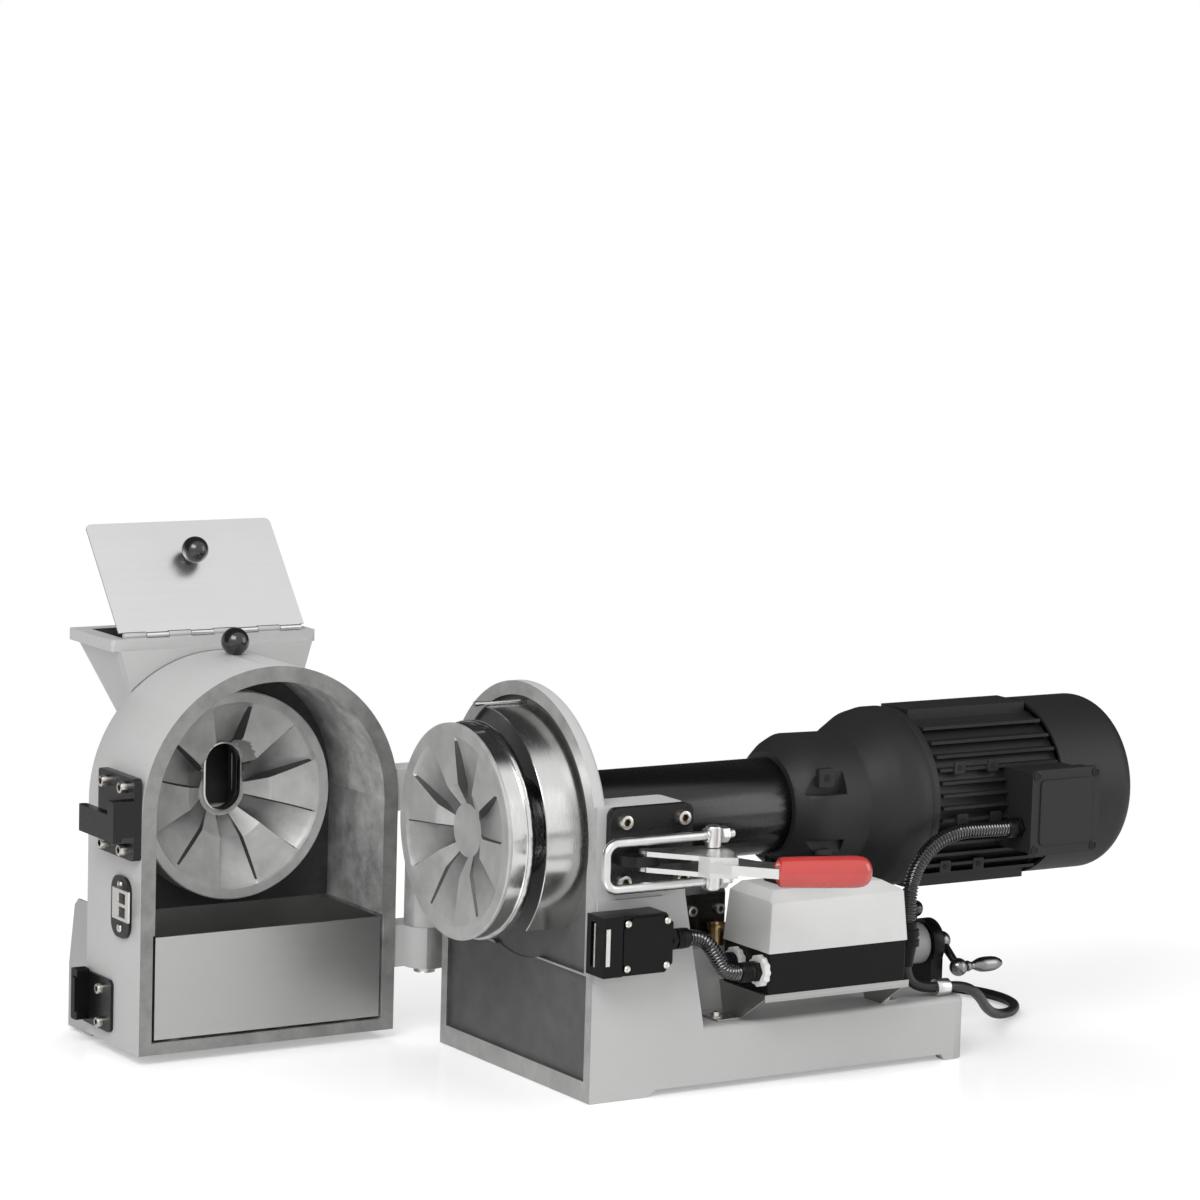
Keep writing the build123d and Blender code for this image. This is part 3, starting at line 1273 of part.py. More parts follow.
def hopper_lid():
    """Polished sheet lid with its own hinge knuckles."""
    x, z = LID_AXIS
    low, high = z - LID_T / 2, z + LID_T / 2
    clear = LID_KNUCKLE_R + 0.7
    sheet = block(x - LID_L, x - clear, -LID_HALF, LID_HALF, low, high)
    sheet = fillet(sheet.edges().filter_by(Axis.Z).sort_by(Axis.X)[:2], 6)
    for y0, y1 in knuckle_spans(1):
        sheet += block(x - clear - 1, x, y0, y1, low, high)
    return lid_turned(sheet + lid_knuckles(1))


def lid_knob():
    x, z = LID_AXIS
    face = z + LID_T / 2
    middle = face + LID_KNOB_R + 1
    knob = Pos(x - LID_KNOB_AT, 0, middle) * Sphere(LID_KNOB_R)
    stem = rod_z(5, face, middle, x - LID_KNOB_AT, 0)
    return lid_turned(knob + stem)


def lid_turned(part):
    x, z = LID_AXIS
    return Pos(x, 0, z) * Rot(0, LID_OPEN, 0) * Pos(-x, 0, -z) * part


# ---------------------------------------------------------------- export
BASE_NODES = {
    "base_casting": base_casting,
    "hinge_pin": hinge_pin,
    "guide_band": guide_band,
    "band_rod": band_rod,
    "shaft_tube": shaft_tube,
    "brass_cap": brass_cap,
    "quill_sleeve": quill_sleeve,
    "shaft_bearings": shaft_bearings,
    "drive_shaft": drive_shaft,
    "disc_carrier": disc_carrier,
    "moving_disc": moving_disc,
    "output_gear": output_gear,
    "layshaft_gears": layshaft_gears,
    "motor_rotor": motor_rotor,
    "stator_core": stator_core,
    "motor_bearings": motor_bearings,
    "cooling_fan": cooling_fan,
    "gearbox_housing": gearbox_housing,
    "motor_frame": motor_frame,
    "fan_cowl": fan_cowl,
    "terminal_box": terminal_box,
    "box_bracket": box_bracket,
    "control_box": control_box,
    "control_lid": control_lid,
    "switch_housing": switch_housing,
    "switch_flap": switch_flap,
    "switch_conduit": switch_conduit,
    "motor_conduit": motor_conduit,
    "conduit_fittings": conduit_fittings,
    "gland_nuts": gland_nuts,
    "interlock_switch": interlock_switch,
    "small_screws": small_screws,
    "cord_clip": cord_clip,
    "mains_lead": mains_lead,
    "lead_coil": lead_coil,
    "mains_plug": mains_plug,
    "spindle_housing": spindle_housing,
    "gap_indicator": gap_indicator,
    "crank_arm": crank_arm,
    "crank_handle": crank_handle,
    "gap_lock_knob": gap_lock_knob,
    "clamp_plate": clamp_plate,
    "clamp_plate_screws": clamp_plate_screws,
    "lever_yoke": lever_yoke,
    "lever_grip": lever_grip,
    "u_bolt": u_bolt,
    "trunnion_blocks": trunnion_blocks,
}
DOOR_NODES = {
    "door_casting": door_casting,
    "feed_hopper": feed_hopper,
    "fixed_disc": fixed_disc,
    "lock_pin": lock_pin,
    "lock_knob": lock_knob,
    "latch_hook": latch_hook,
    "door_screws": door_screws,
    "actuator_key": actuator_key,
    "switch_bracket": switch_bracket,
    "drawer_switch": drawer_switch,
    "drawer_box": drawer_box,
    "hopper_lid": hopper_lid,
    "lid_knob": lid_knob,
}


def main():
    os.makedirs("parts", exist_ok=True)
    for node, make in BASE_NODES.items():
        placed(node, make())
    for node, make in DOOR_NODES.items():
        placed(node, make(), door=True)
    for name, route in (("lead", LEAD_ROUTE), ("motor hose", MOTOR_HOSE), ("switch hose", SWITCH_HOSE)):
        print(name, "radii", [round(r, 1) for r in corner_radii(route)])


main()
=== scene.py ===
import math
from itertools import product

import bmesh
import bpy
from mathutils import Matrix, Vector


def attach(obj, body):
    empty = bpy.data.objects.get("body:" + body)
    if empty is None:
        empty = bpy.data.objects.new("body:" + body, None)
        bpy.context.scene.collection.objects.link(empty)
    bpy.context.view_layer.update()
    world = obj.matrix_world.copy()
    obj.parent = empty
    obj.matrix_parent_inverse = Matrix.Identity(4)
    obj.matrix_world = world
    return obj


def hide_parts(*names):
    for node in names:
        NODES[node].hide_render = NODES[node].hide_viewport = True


# Looks of the laboratory disc mill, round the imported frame.
# Sizes are written in millimetres from the mating plane of the mill's two halves, as the
# solids are: x grows towards the motor, y = 0 is the shaft's plane and z = 0 the bench.
# Door pieces are written for the closed door and turned open with it.

MM = 0.001
ORIGIN_X = 221.0
HINGE_Y = 168.0
SHAFT_Z = 233.0
HALF_W = 135.0
NEAR_Y = -HALF_W
DISC_R = 100.0
WHITE = (1, 1, 1, 1)

BASE = Matrix.Translation((-ORIGIN_X * MM, 0, 0)) @ Matrix.Scale(MM, 4)
OPEN = Matrix(((0, 1, 0, -HINGE_Y), (-1, 0, 0, HINGE_Y), (0, 0, 1, 0), (0, 0, 0, 1)))
DOOR = BASE @ OPEN

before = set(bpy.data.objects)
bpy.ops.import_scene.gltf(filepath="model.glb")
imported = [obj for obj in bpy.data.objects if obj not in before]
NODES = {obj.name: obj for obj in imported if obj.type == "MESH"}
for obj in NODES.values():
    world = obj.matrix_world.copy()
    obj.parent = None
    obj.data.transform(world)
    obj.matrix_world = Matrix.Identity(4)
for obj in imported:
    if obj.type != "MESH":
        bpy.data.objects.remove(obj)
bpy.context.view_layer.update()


# ---- shader nodes
class Nodes:
    """The shader nodes of a material or of the world."""

    def __init__(self, owner):
        owner.use_nodes = True
        self.tree = owner.node_tree

    def add(self, kind, inputs=None, **settings):
        """Outputs of a new node; its inputs, by name or number, are set or linked."""
        made = self.tree.nodes.new("ShaderNode" + kind)
        for key, value in settings.items():
            setattr(made, key, value)
        for key, value in (inputs or {}).items():
            if isinstance(value, bpy.types.NodeSocket):
                self.tree.links.new(value, made.inputs[key])
            else:
                made.inputs[key].default_value = value
        return made.outputs

    def math(self, operation, a, b):
        return self.add("Math", {0: a, 1: b}, operation=operation)[0]

    def mixed(self, share, first, second):
        """Two shaders mixed, with share of the second."""
        return self.add("MixShader", {0: share, 1: first, 2: second})[0]

    def between(self, value, low, high, start=0.3, end=0.7, **settings):
        """The range from start to end, a noise's middle unless said, spread over low to high."""
        ends = {"From Min": start, "From Max": end, "To Min": low, "To Max": high}
        return self.add("MapRange", {"Value": value, **ends}, **settings)[0]


# ---- camera, light and floor
CAMERA_AT = (-2025.68, -3334.16, 952.24)
CAMERA_YAW = math.radians(-32.294)
CAMERA_PITCH = math.radians(7.399)
CAMERA_ROLL = math.radians(1.651)
FRAME_PX = 1200
FOCAL_PX = 4286.23
SENSOR = 36.0
CAMERA_REACH = 50


def make_camera():
    data = bpy.data.cameras.new("camera")
    data.sensor_width = SENSOR
    data.lens = FOCAL_PX / FRAME_PX * SENSOR
    data.clip_end = CAMERA_REACH
    cam = bpy.data.objects.new("camera", data)
    bpy.context.collection.objects.link(cam)
    a, e, roll = CAMERA_YAW, CAMERA_PITCH, CAMERA_ROLL
    back = Vector((math.sin(a) * math.cos(e), -math.cos(a) * math.cos(e), math.sin(e)))
    level_right = (-back).cross(Vector((0, 0, 1))).normalized()
    level_up = level_right.cross(-back)
    right = math.cos(roll) * level_right + math.sin(roll) * level_up
    up = -math.sin(roll) * level_right + math.cos(roll) * level_up
    turn = Matrix((right, up, back)).transposed().to_4x4()
    cam.matrix_world = Matrix.Translation(BASE @ Vector(CAMERA_AT)) @ turn
    bpy.context.scene.camera = cam


WORLD_LIGHT = 0.62
# Mirrors see white towards the viewer's side and near black beyond it, between these Y.
MIRROR_EDGE = (-0.30, 0.0)
MIRROR_DARK = (0.04, 0.04, 0.041, 1)
LIGHTS_AIM = (0, 0, 0.2)
# Place, size and power of each lamp.
LAMPS = {
    "key": ((-1.7, -1.2, 1.9), (1.6, 1.2), 38.0),
    "fill": ((1.9, -1.6, 1.0), (1.2, 1.6), 10.0),
    "rim": ((0.6, 1.8, 1.6), (1.6, 1.0), 14.0),
}
FLOOR_SIZE = 14
FLOOR_Z = -0.0004
FLOOR_COLOUR = (0.93, 0.93, 0.93, 1)
FLOOR_ROUGHNESS = 0.16
FLOOR_LIFT = 0.35
FLOOR_GLOSS = 0.25
FLOOR_FADE = (0.75, 1.7)


def make_world():
    """Even studio light, with a white background for the camera and for reflections."""
    world = bpy.data.worlds.new("studio")
    bpy.context.scene.world = world
    studio = Nodes(world)
    studio.tree.nodes.clear()
    path = studio.add("LightPath")
    apart = studio.add("SeparateXYZ", {0: studio.add("TexCoord")["Generated"]})
    fade = studio.add("ValToRGB", {0: studio.between(apart["Y"], 0, 1, *MIRROR_EDGE)})
    ramp = fade["Color"].node.color_ramp
    ramp.interpolation = "EASE"
    ramp.elements[0].color = WHITE
    ramp.elements[1].color = MIRROR_DARK
    even = studio.add("Background", {"Strength": WORLD_LIGHT, "Color": WHITE})
    mirrored = studio.add("Background", {"Strength": 1.0, "Color": fade["Color"]})
    seen = studio.add("Background", {"Strength": 1.0, "Color": WHITE})
    gloss = studio.math("MAXIMUM", path["Is Glossy Ray"], path["Is Transmission Ray"])
    unseen = studio.mixed(gloss, even[0], mirrored[0])
    last = studio.mixed(path["Is Camera Ray"], unseen, seen[0])
    studio.add("OutputWorld", {"Surface": last})


def make_lights():
    for name, (place, size, power) in LAMPS.items():
        data = bpy.data.lights.new(name, "AREA")
        data.shape = "RECTANGLE"
        data.size, data.size_y = size
        data.energy = power
        lamp = bpy.data.objects.new(name, data)
        bpy.context.collection.objects.link(lamp)
        lamp.location = place
        aim = Vector(LIGHTS_AIM) - Vector(place)
        lamp.rotation_euler = aim.to_track_quat("-Z", "Y").to_euler()
    bpy.data.objects["rim"].visible_glossy = False


def make_floor():
    """Pale glossy floor, which the camera sees as near white with the object's shadow."""
    bpy.ops.mesh.primitive_plane_add(size=FLOOR_SIZE, location=(0, 0, FLOOR_Z))
    floor = bpy.context.object
    floor.name = "floor"
    mat = bpy.data.materials.new("floor")
    ground = Nodes(mat)
    ground.tree.nodes.clear()
    seen = ground.add("LightPath")["Is Camera Ray"]
    matt = ground.add("BsdfDiffuse", {"Color": FLOOR_COLOUR})
    mirror = ground.add("BsdfGlossy", {"Color": WHITE, "Roughness": FLOOR_ROUGHNESS})
    both = ground.mixed(FLOOR_GLOSS, matt[0], mirror[0])
    lift = ground.add("Emission", {"Strength": ground.math("MULTIPLY", seen, FLOOR_LIFT)})
    near = ground.add("AddShader", {0: both, 1: lift[0]})
    place = ground.add("TexCoord")["Object"]
    away = ground.add("VectorMath", {0: place}, operation="LENGTH")["Value"]
    fade = ground.between(away, 0, 1, *FLOOR_FADE, interpolation_type="SMOOTHSTEP")
    share = ground.math("MULTIPLY", fade, seen)
    last = ground.mixed(share, near[0], ground.add("Emission")[0])
    ground.add("OutputMaterial", {"Surface": last})
    floor.data.materials.append(mat)


# ---- materials
# Noise scales of each kind of surface, as features in a metre.
PAINT_CLOUD, PAINT_WAVE, PAINT_GRIT = 9.0, 120.0, 900.0
CAST_MOTTLE, CAST_GRIT, CAST_RINGS = 45.0, 700.0, 1500.0
SHEET_SMUDGE, SHEET_LINES, SHEET_STRETCH = 14.0, 500.0, (0.006, 1, 1)
BRACKET_LINES, BRACKET_STRETCH = 600.0, (0.01, 1, 1)
LATHE_SMUDGE, LATHE_RINGS = 16.0, 2600.0
PLATE_CLOUD, PLATE_GRAIN = 90.0, 1600.0
PLASTIC_CLOUD, PLASTIC_GRIT = 30.0, 1800.0
# Depths of relief, in metres.
PAINT_DEPTH = 0.00025
SMOOTH_PAINT_DEPTH = 0.00006
TUBE_PAINT_DEPTH = 0.00003
PIT_DEPTH = 0.0002
CAST_RING_DEPTH = 0.00008
LATHE_RING_DEPTH = 0.00003
LINE_DEPTH = 0.00001
PLASTIC_DEPTH = 0.00006
# How far roughness goes down and up with the noise of each kind of surface.
PAINT_ROUGH = (-0.05, 0.08)
CAST_ROUGH = (-0.08, 0.12)
PLATE_ROUGH = (-0.03, 0.05)
PLASTIC_ROUGH = (-0.04, 0.06)
LATHE_ROUGH = (-0.05, 0.05)
LATHE_SMUDGES = (-0.03, 0.05)
SHEET_STREAK = 0.02
SHEET_SMUDGES = (-0.02, 0.04)
# How much lighter and darker the colour goes, as a share.
PAINT_TONE = 0.035
LATHE_TONE = 0.06
PLATE_TONE = 0.04
# Radii over which the painted shade on a flute's floor goes from its darkest, near the hub, to the disc's
# own colour.
HUB_SHADE_R = (0.026, 0.080)
COAT_ROUGHNESS = 0.12


class Surface(Nodes):
    """A material, with the noises and reliefs that finishes are made of."""

    def __init__(self, name, colour, roughness, metallic=0.0, coat=0.0, gloss=0.5):
        self.material = bpy.data.materials.new(name)
        super().__init__(self.material)
        self.shader = self.tree.nodes["Principled BSDF"]
        self.colour = colour
        self.roughness = roughness
        values = {"Metallic": metallic, "Roughness": roughness, "Specular IOR Level": gloss}
        if coat:
            values.update({"Coat Weight": coat, "Coat Roughness": COAT_ROUGHNESS})
        for key, value in values.items():
            self.shader.inputs[key].default_value = value

    def point(self, stretch=(1, 1, 1)):
        """The point on the object, in metres, stretched for grain that runs one way."""
        coords = self.add("TexCoord")["Object"]
        return self.add("Mapping", {"Vector": coords, "Scale": stretch})[0]

    def turned_point(self, centre, door):
        """(radius, angle, along) round the shaft's line, for marks left by turning."""
        coords = self.add("TexCoord")["Object"]
        shift = self.add("VectorMath", {0: coords, 1: centre}, operation="SUBTRACT")
        apart = self.add("SeparateXYZ", {0: shift[0]})
        across, along = (apart["X"], apart["Y"]) if door else (apart["Y"], apart["X"])
        flat = self.add("CombineXYZ", {0: across, 1: apart["Z"]})
        radius = self.add("VectorMath", {0: flat[0]}, operation="LENGTH")["Value"]
        angle = self.math("ARCTAN2", apart["Z"], across)
        return self.add("CombineXYZ", {0: radius, 1: angle, 2: along})[0]

    def noise(self, vector, scale, detail=3.0, roughness=0.5):
        inputs = {"Vector": vector, "Scale": scale, "Detail": detail, "Roughness": roughness}
        return self.add("TexNoise", inputs)["Fac"]

    def rings(self, centre, door, stretch, scale):
        """Noise drawn out into rings round the shaft's line."""
        inputs = {"Vector": self.turned_point(centre, door), "Scale": stretch}
        return self.noise(self.add("Mapping", inputs)[0], scale, 2)

    def shaded(self, value, amount):
        """The colour, lighter and darker with a noise, by the share amount."""
        dark = [c * (1 - amount) for c in self.colour]
        light = [min(1, c * (1 + amount)) for c in self.colour]
        ends = {0: self.between(value, 0, 1), 6: (*dark, 1), 7: (*light, 1)}
        return self.add("Mix", ends, data_type="RGBA")[2]

    def rough(self, value, spread):
        """Roughness that goes down and up with a noise."""
        down, up = spread
        return self.between(value, self.roughness + down, self.roughness + up)

    def smudged(self, lines, spread, smudge_scale, smudges):
        """Roughness that follows fine lines, with wider smudges over them."""
        smudge = self.noise(self.point(), smudge_scale, 4)
        return self.math("ADD", self.rough(lines, spread), self.between(smudge, *smudges))

    def finish(self, colour, roughness):
        self.tree.links.new(colour, self.shader.inputs["Base Color"])
        self.tree.links.new(roughness, self.shader.inputs["Roughness"])

    def bump(self, height, depth, strength, after=None):
        """Relief of a height field, depth metres from its lowest to its highest."""
        inputs = {"Strength": strength, "Distance": depth, "Height": height}
        if after is not None:
            inputs["Normal"] = after
        relief = self.add("Bump", inputs)[0]
        self.tree.links.new(relief, self.shader.inputs["Normal"])
        return relief


def cast_paint(name, colour, roughness=0.42, depth=PAINT_DEPTH, gloss=0.5):
    """Satin paint over a casting: a soft waviness, fine grit and faint cloudiness."""
    s = Surface(name, colour, roughness, gloss=gloss)
    here = s.point()
    cloud = s.noise(here, PAINT_CLOUD, 4)
    grit = s.noise(here, PAINT_GRIT, 2)
    wave = s.noise(here, PAINT_WAVE, 2)
    s.finish(s.shaded(cloud, PAINT_TONE), s.rough(grit, PAINT_ROUGH))
    s.bump(grit, depth * 0.3, 0.5, after=s.bump(wave, depth, 0.35))
    return s.material


def bare_cast(
    name, colour, roughness=0.5, pits=0.5, amount=0.10, centre=None, door=False, metal=0.45, hub_shade=1.0
):
    """Cast or ground steel, mottled and pitted; round a centre, turning marks and painted shade darker
    towards the hub.
    """
    s = Surface(name, colour, roughness, metallic=metal)
    here = s.point()
    mottle = s.noise(here, CAST_MOTTLE, 6, 0.65)
    tone = s.shaded(mottle, amount)
    pitted = s.bump(s.noise(here, CAST_GRIT, 3), PIT_DEPTH, pits)
    if centre:
        rings = s.rings(centre, door, (1, 0.002, 0.02), CAST_RINGS)
        s.bump(rings, CAST_RING_DEPTH, 0.35, after=pitted)
        # Painted shade: the colour is scaled down towards the hub by hub_shade, for the deep flute floors
        # there.
        spot = s.add("SeparateXYZ", {0: s.turned_point(centre, door)})
        share = s.between(spot[0], hub_shade, 1.0, *HUB_SHADE_R)
        tone = s.add("VectorMath", {"Vector": tone, "Scale": share}, operation="SCALE")[0]
    s.finish(tone, s.rough(mottle, CAST_ROUGH))
    return s.material


def brushed(name, colour, roughness, stretch, amount, scale, streaks=0.0):
    """Brushed or rolled steel, with streaks along the direction that is least stretched."""
    s = Surface(name, colour, roughness, metallic=1.0)
    lines = s.noise(s.point(stretch), scale, 3)
    spread = (-SHEET_STREAK * streaks, SHEET_STREAK * streaks)
    s.finish(s.shaded(lines, amount), s.smudged(lines, spread, SHEET_SMUDGE, SHEET_SMUDGES))
    if streaks:
        s.bump(lines, LINE_DEPTH, streaks)
    return s.material


def turned(name, colour, roughness):
    """Steel turned or polished on a lathe, with fine rings round the shaft's line."""
    s = Surface(name, colour, roughness, metallic=1.0)
    rings = s.rings(SHAFT_AT, False, (1, 0.003, 1), LATHE_RINGS)
    rough = s.smudged(rings, LATHE_ROUGH, LATHE_SMUDGE, LATHE_SMUDGES)
    s.finish(s.shaded(rings, LATHE_TONE), rough)
    s.bump(rings, LATHE_RING_DEPTH, 0.5)
    return s.material


def plated(name, colour, roughness):
    """Zinc plate: bright, faintly warm in places and a little cloudy."""
    s = Surface(name, colour, roughness, metallic=1.0)
    here = s.point()
    cloud = s.noise(here, PLATE_CLOUD, 4)
    s.finish(s.shaded(cloud, PLATE_TONE), s.rough(cloud, PLATE_ROUGH))
    s.bump(s.noise(here, PLATE_GRAIN, 2), LINE_DEPTH, 0.06)
    return s.material


def moulded(name, colour, roughness, grain=0.4, coat=0.0, amount=0.05, gloss=0.5):
    """Moulded plastic or rubber with a fine spark-eroded grain."""
    s = Surface(name, colour, roughness, coat=coat, gloss=gloss)
    here = s.point()
    cloud = s.noise(here, PLASTIC_CLOUD, 3)
    s.finish(s.shaded(cloud, amount), s.rough(cloud, PLASTIC_ROUGH))
    s.bump(s.noise(here, PLASTIC_GRIT, 2), PLASTIC_DEPTH, grain)
    return s.material


SHAFT_AT = (0, 0, SHAFT_Z * MM)
DOOR_TURNED = {"centre": (-(ORIGIN_X + HINGE_Y) * MM, 0, SHAFT_Z * MM), "door": True}
MATERIAL = {
    "paint": cast_paint("cast_paint", (0.50, 0.50, 0.497)),
    "face": bare_cast("ground_face", (0.27, 0.27, 0.265), 0.42, amount=0.22),
    "chamber": bare_cast("chamber_wall", (0.58, 0.58, 0.575), 0.36, pits=1.0, amount=0.34, metal=0.6),
    # The door chamber's back and the hopper's throat: the chamber's cast metal, near black as painted
    # shade.
    "chamber_back_shade": bare_cast("chamber_back_shade", (0.045, 0.045, 0.045), 0.5, pits=0.8, amount=0.30),
    "recess": bare_cast("face_recess", (0.13, 0.13, 0.129), 0.48, pits=0.8, amount=0.20),
    # The flute walls: the discs' cast metal, near black as painted shade.
    "wall": bare_cast("flute_wall_painted_shade", (0.075, 0.075, 0.074), 0.5, pits=0.6),
    "base_face": bare_cast("base_ground_face", (0.42, 0.42, 0.415), 0.42, amount=0.18),
    "disc": bare_cast("disc_cast", (0.50, 0.50, 0.495), 0.42, amount=0.12, centre=SHAFT_AT),
    # Flute floors: painted shade darkens them towards the hub.
    "flute": bare_cast(
        "flute_cast", (0.47, 0.47, 0.465), 0.46, amount=0.14, centre=SHAFT_AT, hub_shade=0.34
    ),
    "door_flute": bare_cast(
        "door_flute_cast", (0.45, 0.45, 0.445), 0.46, amount=0.18, hub_shade=0.26, **DOOR_TURNED
    ),
    "door_disc": bare_cast("door_disc_cast", (0.48, 0.48, 0.475), 0.42, amount=0.16, **DOOR_TURNED),
    "band": turned("band_steel", (0.66, 0.66, 0.65), 0.22),
    "carrier": turned("turned_steel", (0.70, 0.70, 0.69), 0.14),
    # The crank: polished steel with a darker colour that paints in its shade and the dark motor it
    # reflects.
    "crank": turned("crank_steel_painted_shade", (0.26, 0.26, 0.262), 0.24),
    "steel": turned("plain_steel", (0.62, 0.62, 0.61), 0.25),
    "drawer": brushed("drawer_sheet", (0.52, 0.52, 0.515), 0.30, SHEET_STRETCH, 0.01, SHEET_LINES),
    "lid": brushed("lid_sheet", (0.80, 0.80, 0.80), 0.30, SHEET_STRETCH, 0.012, SHEET_LINES),
    "sheet": brushed(
        "bracket_sheet", (0.42, 0.42, 0.41), 0.32, BRACKET_STRETCH, 0.08, BRACKET_LINES, streaks=0.5
    ),
    "rim": plated("rim_steel", (0.62, 0.61, 0.58), 0.30),
    "strip": plated("contact_strip", (0.70, 0.69, 0.66), 0.26),
    "screw": plated("screw_plate", (0.66, 0.64, 0.59), 0.30),
    # Inside of the screws' hexagon sockets: dark brown painted shade.
    "socket": plated("socket_painted_shade", (0.16, 0.13, 0.09), 0.40),
    "zinc": plated("zinc_plate", (0.70, 0.70, 0.69), 0.30),
    "core": plated("core_steel", (0.22, 0.22, 0.23), 0.45),
    "brass": plated("brass", (0.52, 0.36, 0.18), 0.30),
    "black": cast_paint(
        "black_paint", (0.008, 0.008, 0.0085), 0.30, depth=SMOOTH_PAINT_DEPTH, gloss=0.35
    ),
    "charcoal": cast_paint("charcoal_paint", (0.018, 0.018, 0.0185), 0.48, gloss=0.3),
    "tube": cast_paint("tube_paint", (0.004, 0.004, 0.004), 0.22, depth=TUBE_PAINT_DEPTH),
    "spindle": cast_paint("spindle_gray", (0.34, 0.34, 0.34), 0.40),
    # Holes: near-black painted shade, also in the connection box screws' sockets.
    "hole": moulded("hole_painted_shade", (0.004, 0.004, 0.004), 0.8, grain=0.0),
    "plastic": moulded("black_plastic", (0.005, 0.005, 0.0055), 0.32, gloss=0.16),
    "hose": moulded("hose_plastic", (0.006, 0.006, 0.0065), 0.14, grain=0.0, coat=0.6, gloss=0.8),
    "cover": moulded("light_plastic", (0.66, 0.66, 0.65), 0.42, grain=0.5, amount=0.02),
    "white": moulded("white_plastic", (0.80, 0.80, 0.78), 0.45),
    "knob": moulded("knob_plastic", (0.012, 0.012, 0.013), 0.12, grain=0.0, coat=0.6),
    "red": moulded("red_grip", (0.52, 0.042, 0.036), 0.22, grain=0.15, coat=0.9),
    "rubber": moulded("rubber", (0.008, 0.008, 0.0085), 0.36, grain=0.4),
}

NODE_FINISH = {
    "paint": ("base_casting", "door_casting", "feed_hopper"),
    "disc": ("moving_disc",),
    "door_disc": ("fixed_disc",),
    "band": ("guide_band",),
    "carrier": ("disc_carrier",),
    "drawer": ("drawer_box",),
    "lid": ("hopper_lid",),
    "sheet": ("box_bracket", "actuator_key"),
    "steel": ("band_rod", "drive_shaft", "quill_sleeve", "hinge_pin", "lock_pin", "output_gear")
    + ("layshaft_gears", "motor_bearings", "shaft_bearings"),
    "crank": ("crank_arm", "crank_handle"),
    "zinc": ("clamp_plate_screws", "small_screws", "door_screws", "lever_yoke", "u_bolt")
    + ("trunnion_blocks", "cord_clip"),
    "black": ("clamp_plate", "latch_hook", "switch_bracket"),
    "spindle": ("spindle_housing",),
    "tube": ("shaft_tube",),
    "charcoal": ("fan_cowl", "gearbox_housing", "motor_frame", "terminal_box"),
    "core": ("stator_core", "motor_rotor"),
    "plastic": ("interlock_switch", "drawer_switch", "conduit_fittings", "control_box")
    + ("switch_housing", "switch_flap", "gap_indicator", "cooling_fan"),
    "hose": ("switch_conduit", "motor_conduit"),
    "cover": ("control_lid",),
    "white": ("gland_nuts",),
    "knob": ("lid_knob", "lock_knob", "gap_lock_knob"),
    "red": ("lever_grip",),
    "rubber": ("mains_lead", "lead_coil", "mains_plug"),
    "brass": ("brass_cap",),
}


def finish_nodes():
    for key, names in NODE_FINISH.items():
        for name in names:
            mesh = NODES[name].data
            mesh.materials.clear()
            mesh.materials.append(MATERIAL[key])


# ---- mesh building
# Across, up and along, of each direction in which a shape is built.
AXES = {
    "x": (Vector((0, 1, 0)), Vector((0, 0, 1)), Vector((1, 0, 0))),
    "y": (Vector((0, 0, 1)), Vector((1, 0, 0)), Vector((0, 1, 0))),
    "z": (Vector((1, 0, 0)), Vector((0, 1, 0)), Vector((0, 0, 1))),
    "back": (Vector((0, 1, 0)), Vector((0, 0, 1)), Vector((-1, 0, 0))),
    "front": (Vector((1, 0, 0)), Vector((0, 0, 1)), Vector((0, -1, 0))),
    "down": (Vector((1, 0, 0)), Vector((0, 1, 0)), Vector((0, 0, -1))),
}
PIECE_SHARP = math.radians(32)
WELD_DISTANCE = 1e-6
EDGE_STEPS = 2
ROUND_SIDES = 36
BAR_SIDES = 20
# A cap screw's rounded rim as a share of its radius, and its socket's chamfer and floor.
CAP_RIM = 0.14
SOCKET_CHAMFER = 0.4
SOCKET_FLOOR = 0.35
# Two corners' curves share an edge that is this many times as long as either's reach.
CORNER_ROOM = 2.01


def circle(middle, u, v, radius, sides, turn=0.0):
    """Points round a middle, at a radius that may be a function of the angle."""
    reach = radius if callable(radius) else lambda a: radius
    angles = [turn + 2 * math.pi * i / sides for i in range(sides)]
    return [middle + reach(a) * (math.cos(a) * u + math.sin(a) * v) for a in angles]


